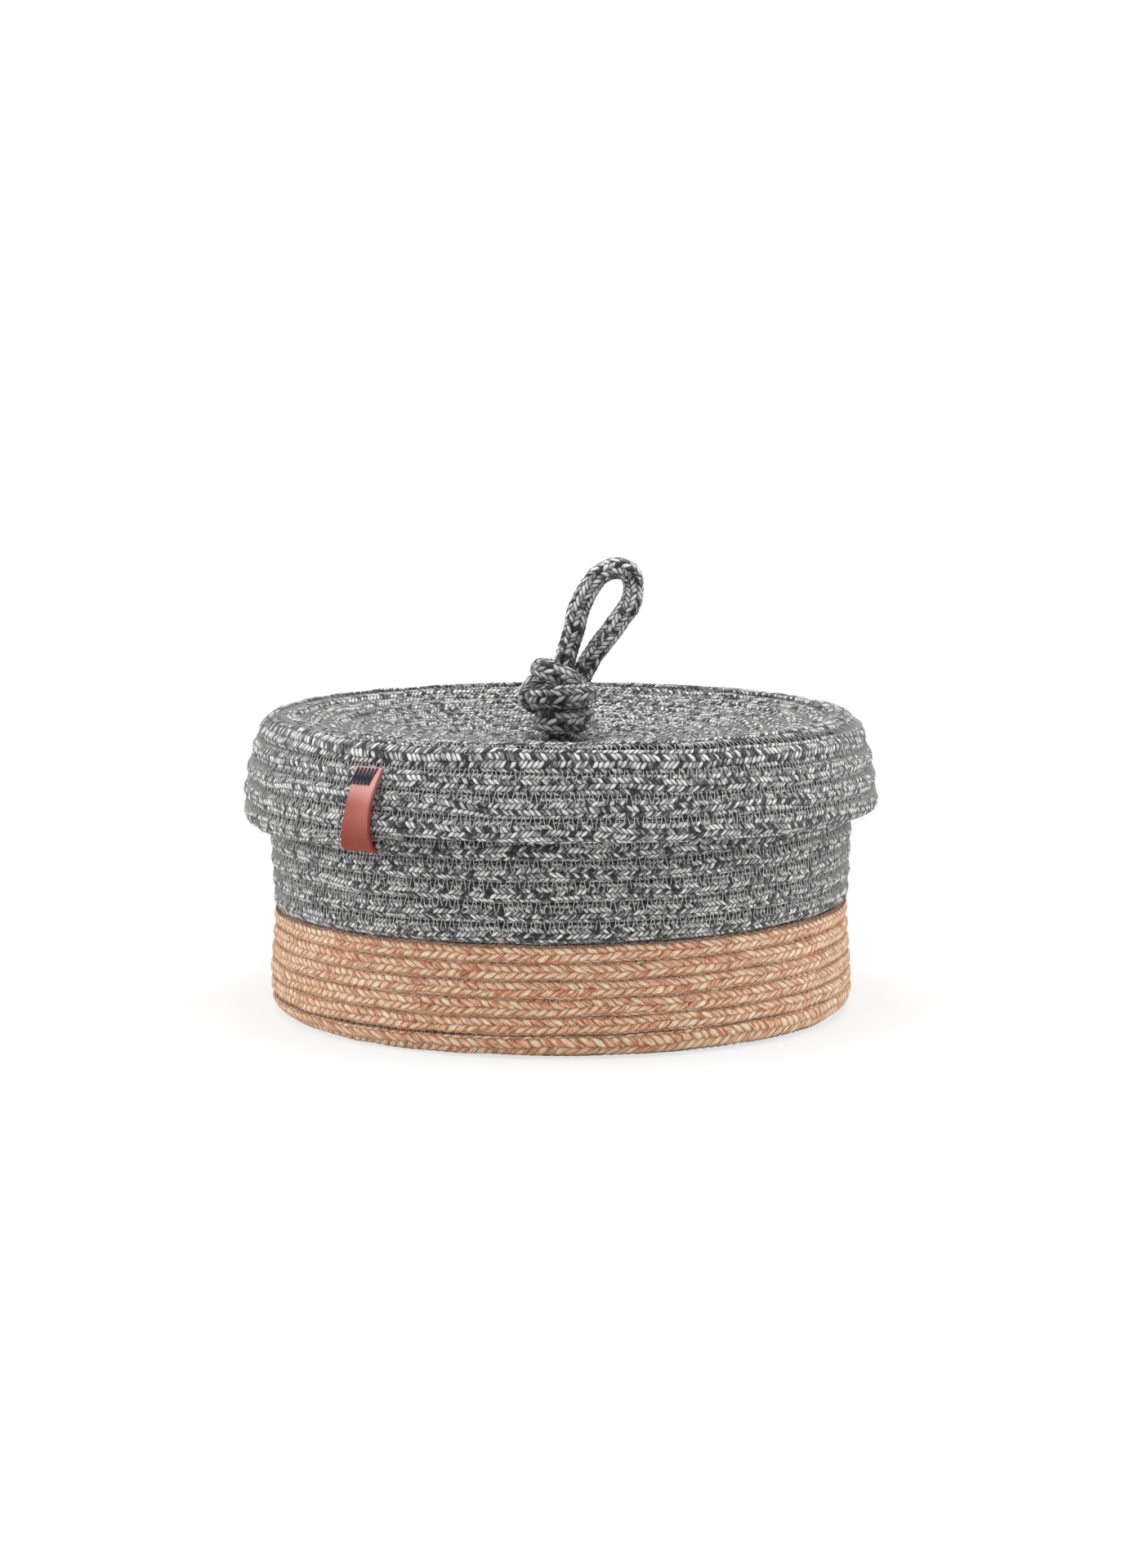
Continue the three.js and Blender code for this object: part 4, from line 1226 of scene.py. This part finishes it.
class BASKET_OT_tab(bpy.types.Operator):
    """Folds the leather tab round the skirt's lower edge and stitches it on"""
    bl_idname = "rope_basket.tab"
    bl_label = "Leather tab"

    def execute(self, context):
        scene = context.scene
        tab, lid = scene.basket_tab, scene.basket_lid
        colours = scene.basket_colours
        line = self.side_view(tab, lid, lid_windings(scene)[0])
        run = run_along(line)
        count, across = 90, 16
        lengths = np.linspace(0, run[-1], count + 1)
        middle = on_line(lengths, run, line)
        way = unit(np.gradient(middle, axis=0))
        leg = run[np.argmin(line[:, 1])]
        share = lengths / leg
        stops, *edges = zip(*TAB_EDGES)
        left, right = (np.interp(share, stops, edge) * MM for edge in edges)
        ray = np.array([math.cos(tab.azimuth), math.sin(tab.azimuth), 0])
        tangent = np.array([-ray[1], ray[0], 0])

        def at(i, j):
            """A point of the strip: i along it, j across it from 0 to 1."""
            aside = left[i] + (right[i] - left[i]) * j
            bow = 2.4 * MM * max(0.0, math.sin(math.pi * min(share[i], 1))) * j ** 2
            r = middle[i, 0] - way[i, 1] * bow
            z = middle[i, 1] + way[i, 0] * bow
            return ray * r + tangent * aside + np.array([0, 0, z])

        mesh = bpy.data.meshes.new("tab_strip")
        strip = bmesh.new()
        layer = strip.loops.layers.uv.new("Strip")
        bmesh.ops.create_grid(strip, x_segments=count, y_segments=across, size=0.5)
        places = {}
        for vert in strip.verts:
            i = round((vert.co.x + 0.5) * count)
            j = vert.co.y + 0.5
            places[vert] = (j, lengths[i] / lengths[-1])
            vert.co = at(i, j)
        for face in strip.faces:
            for loop in face.loops:
                loop[layer].uv = places[loop.vert]
        bmesh.ops.recalc_face_normals(strip, faces=strip.faces)
        strip.to_mesh(mesh)
        strip.free()
        piece = finish_piece(mesh, leather_finish(colours), "lid", "leather", "leather_tab")
        for name, kind, settings in (
            ("thickness", "SOLIDIFY", {"thickness": tab.thickness, "offset": 0}),
            ("edge", "BEVEL", {"width": 0.35 * MM, "segments": 3, "limit_method": "ANGLE"}),
        ):
            modifier = piece.modifiers.new(name, kind)
            for key, value in settings.items():
                setattr(modifier, key, value)
        self.stitches(at, way, ray, tab.thickness, thread_finish("navy thread", colours.navy))
        return {"FINISHED"}

    def side_view(self, tab, lid, shape):
        """The strip's middle line, seen from the side: outside, fold and inside."""
        off = lid.rope / 2 + 0.35 * MM + tab.thickness / 2
        top = shape.crest_height + lid.rope / 2 - tab.below_crest
        share = (lid.end_angle - tab.azimuth) / FULL_TURN
        scale = float(lid_taper(lid)(np.array([tab.azimuth]))[0])
        course = shape.end_height + lid.course * (share + (1 - scale) / 2)
        low = course - scale * lid.course / 2 - tab.drop
        bend = 2.7 * MM
        fold = low + bend + tab.thickness / 2
        heights = np.linspace(top, fold, 40)
        radii = np.array([shape.profile.at(shape.on_skirt(height))[0] for height in heights])
        outer = np.stack([radii + off, heights], 1)
        round_ = arc((radii[-1] + off - bend, fold), bend, 0, -0.75 * math.pi, 20)
        inside = radii[-1] - off
        inner = through([round_[-1], (radii[-1] - 0.6 * off, fold + 1.4 * MM),
                         (inside, fold + 5 * MM), (inside, fold + tab.inner)], 12)
        return np.concatenate([outer, round_[1:], inner[1:]])

    def stitches(self, at, way, ray, thickness, finish):
        """The navy zigzag that holds the tab's top, from row 1 of the strip to row 12."""
        count, lift, points = 12, thickness / 2 + 0.3 * MM, []
        for k in range(count):
            j = -0.02 + 0.78 * k / (count - 1)
            i = 1 if k % 2 else 12
            point = at(i, j + (0.07 if k % 2 else 0))
            outward = -ray * way[i, 1] + np.array([0, 0, way[i, 0]])
            shift = at(i, j + 0.1) - point
            for depth, slip in ((1.0, -0.15), (-0.6, 0.0), (1.0, 0.15)):
                points.append(point + outward * lift * depth + shift * slip)
        line = np.array(points)
        half = np.full(len(line), 0.36 * MM)
        rings = rope_rings(line, *carried_frames(line), half, half, 2.0, 8)
        finish_piece(tube_mesh("navy_zigzag", rings, run_along(line)), finish, "lid",
                     "navy_thread", "tab_stitches")


class BASKET_OT_stage(bpy.types.Operator):
    """Sets the camera, the lamps, the white room and the floor"""
    bl_idname = "rope_basket.stage"
    bl_label = "Stage"

    def execute(self, context):
        scene = context.scene
        stage = scene.basket_stage
        camera = bpy.data.objects.new("camera", bpy.data.cameras.new("camera"))
        scene.collection.objects.link(camera)
        camera.data.sensor_fit = "VERTICAL"
        camera.data.sensor_height = 36
        camera.data.lens = stage.lens
        camera.location = (stage.aside, -stage.distance, stage.height)
        camera.rotation_euler = (math.pi / 2 - stage.pitch, 0, 0)
        scene.camera = camera
        middle = Vector((0, 0, 0.09))
        lamps = (
            ("top", (0.0, -0.15, 1.5), 1.3, stage.top_lamp),
            ("left", (-1.35, 0.35, 0.45), 1.0, stage.left_lamp),
            ("right", (1.35, 0.35, 0.45), 1.0, stage.right_lamp),
            ("front", (0.0, -1.9, 0.0), 1.0, stage.front_lamp),
        )
        for name, place, size, power in lamps:
            lamp = bpy.data.lights.new(name, "AREA")
            lamp.shape = "SQUARE"
            lamp.size = size
            lamp.energy = power
            holder = bpy.data.objects.new(name, lamp)
            scene.collection.objects.link(holder)
            holder.location = place
            holder.rotation_euler = (middle - Vector(place)).to_track_quat("-Z", "Y").to_euler()
        self.room(scene, stage)
        self.floor(scene)
        scene.view_settings.view_transform = "Standard"
        return {"FINISHED"}

    def room(self, scene, stage):
        """White all round: dim as a light, and full white for the camera."""
        scene.world = bpy.data.worlds.new("white room")
        room = Nodes(scene.world)
        light, seen = room.tree.nodes["Background"], room.add("ShaderNodeBackground")
        room.feed(light.inputs["Strength"], stage.sky)
        for shader in (light, seen):
            room.feed(shader.inputs["Color"], WHITE)
        room.end("World Output", room.ray("Camera").largest(room.ray("Transmission")), light, seen)

    def floor(self, scene):
        """A white floor that keeps the shadow near the basket and glows white further out."""
        plane = bmesh.new()
        bmesh.ops.create_grid(plane, x_segments=1, y_segments=1, size=4)
        mesh = bpy.data.meshes.new("floor")
        plane.to_mesh(mesh)
        plane.free()
        floor = bpy.data.objects.new("floor", mesh)
        scene.collection.objects.link(floor)
        paint = Finish("white floor", roughness=0.8, specular=0.1)
        paint.set("Base Color", (0.92, 0.92, 0.92, 1))
        far = paint.add("ShaderNodeVectorMath", {"operation": "LENGTH"}, {0: paint.place()})
        fade = Number(paint, far.outputs["Value"]).ramp(0.14, 0.45, to_low=0.7)
        paint.end("Material Output", paint.ray("Camera") * fade, paint.shader,
                  paint.add("ShaderNodeEmission"))
        mesh.materials.append(paint.material)


OPERATORS = (
    BASKET_OT_stage, BASKET_OT_base, BASKET_OT_wall, BASKET_OT_lid, BASKET_OT_sewing,
    BASKET_OT_fuzz, BASKET_OT_handle, BASKET_OT_tab,
)


class BASKET_PT_panel(bpy.types.Panel):
    """The basket's pieces, one button each"""
    bl_idname = "BASKET_PT_panel"
    bl_label = "Rope basket"
    bl_space_type = "VIEW_3D"
    bl_region_type = "UI"
    bl_category = "Rope basket"

    def draw(self, context):
        for operator in OPERATORS:
            self.layout.operator(operator.bl_idname)


def register():
    for name, group in SETTINGS:
        bpy.utils.register_class(group)
        setattr(bpy.types.Scene, name, bpy.props.PointerProperty(type=group))
    for operator in OPERATORS:
        bpy.utils.register_class(operator)
    bpy.utils.register_class(BASKET_PT_panel)


def unregister():
    bpy.utils.unregister_class(BASKET_PT_panel)
    for operator in reversed(OPERATORS):
        bpy.utils.unregister_class(operator)
    for name, group in reversed(SETTINGS):
        delattr(bpy.types.Scene, name)
        bpy.utils.unregister_class(group)


def main():
    register()
    for operator in OPERATORS:
        group, name = operator.bl_idname.split(".")
        getattr(getattr(bpy.ops, group), name)()


if __name__ == "__main__":
    main()
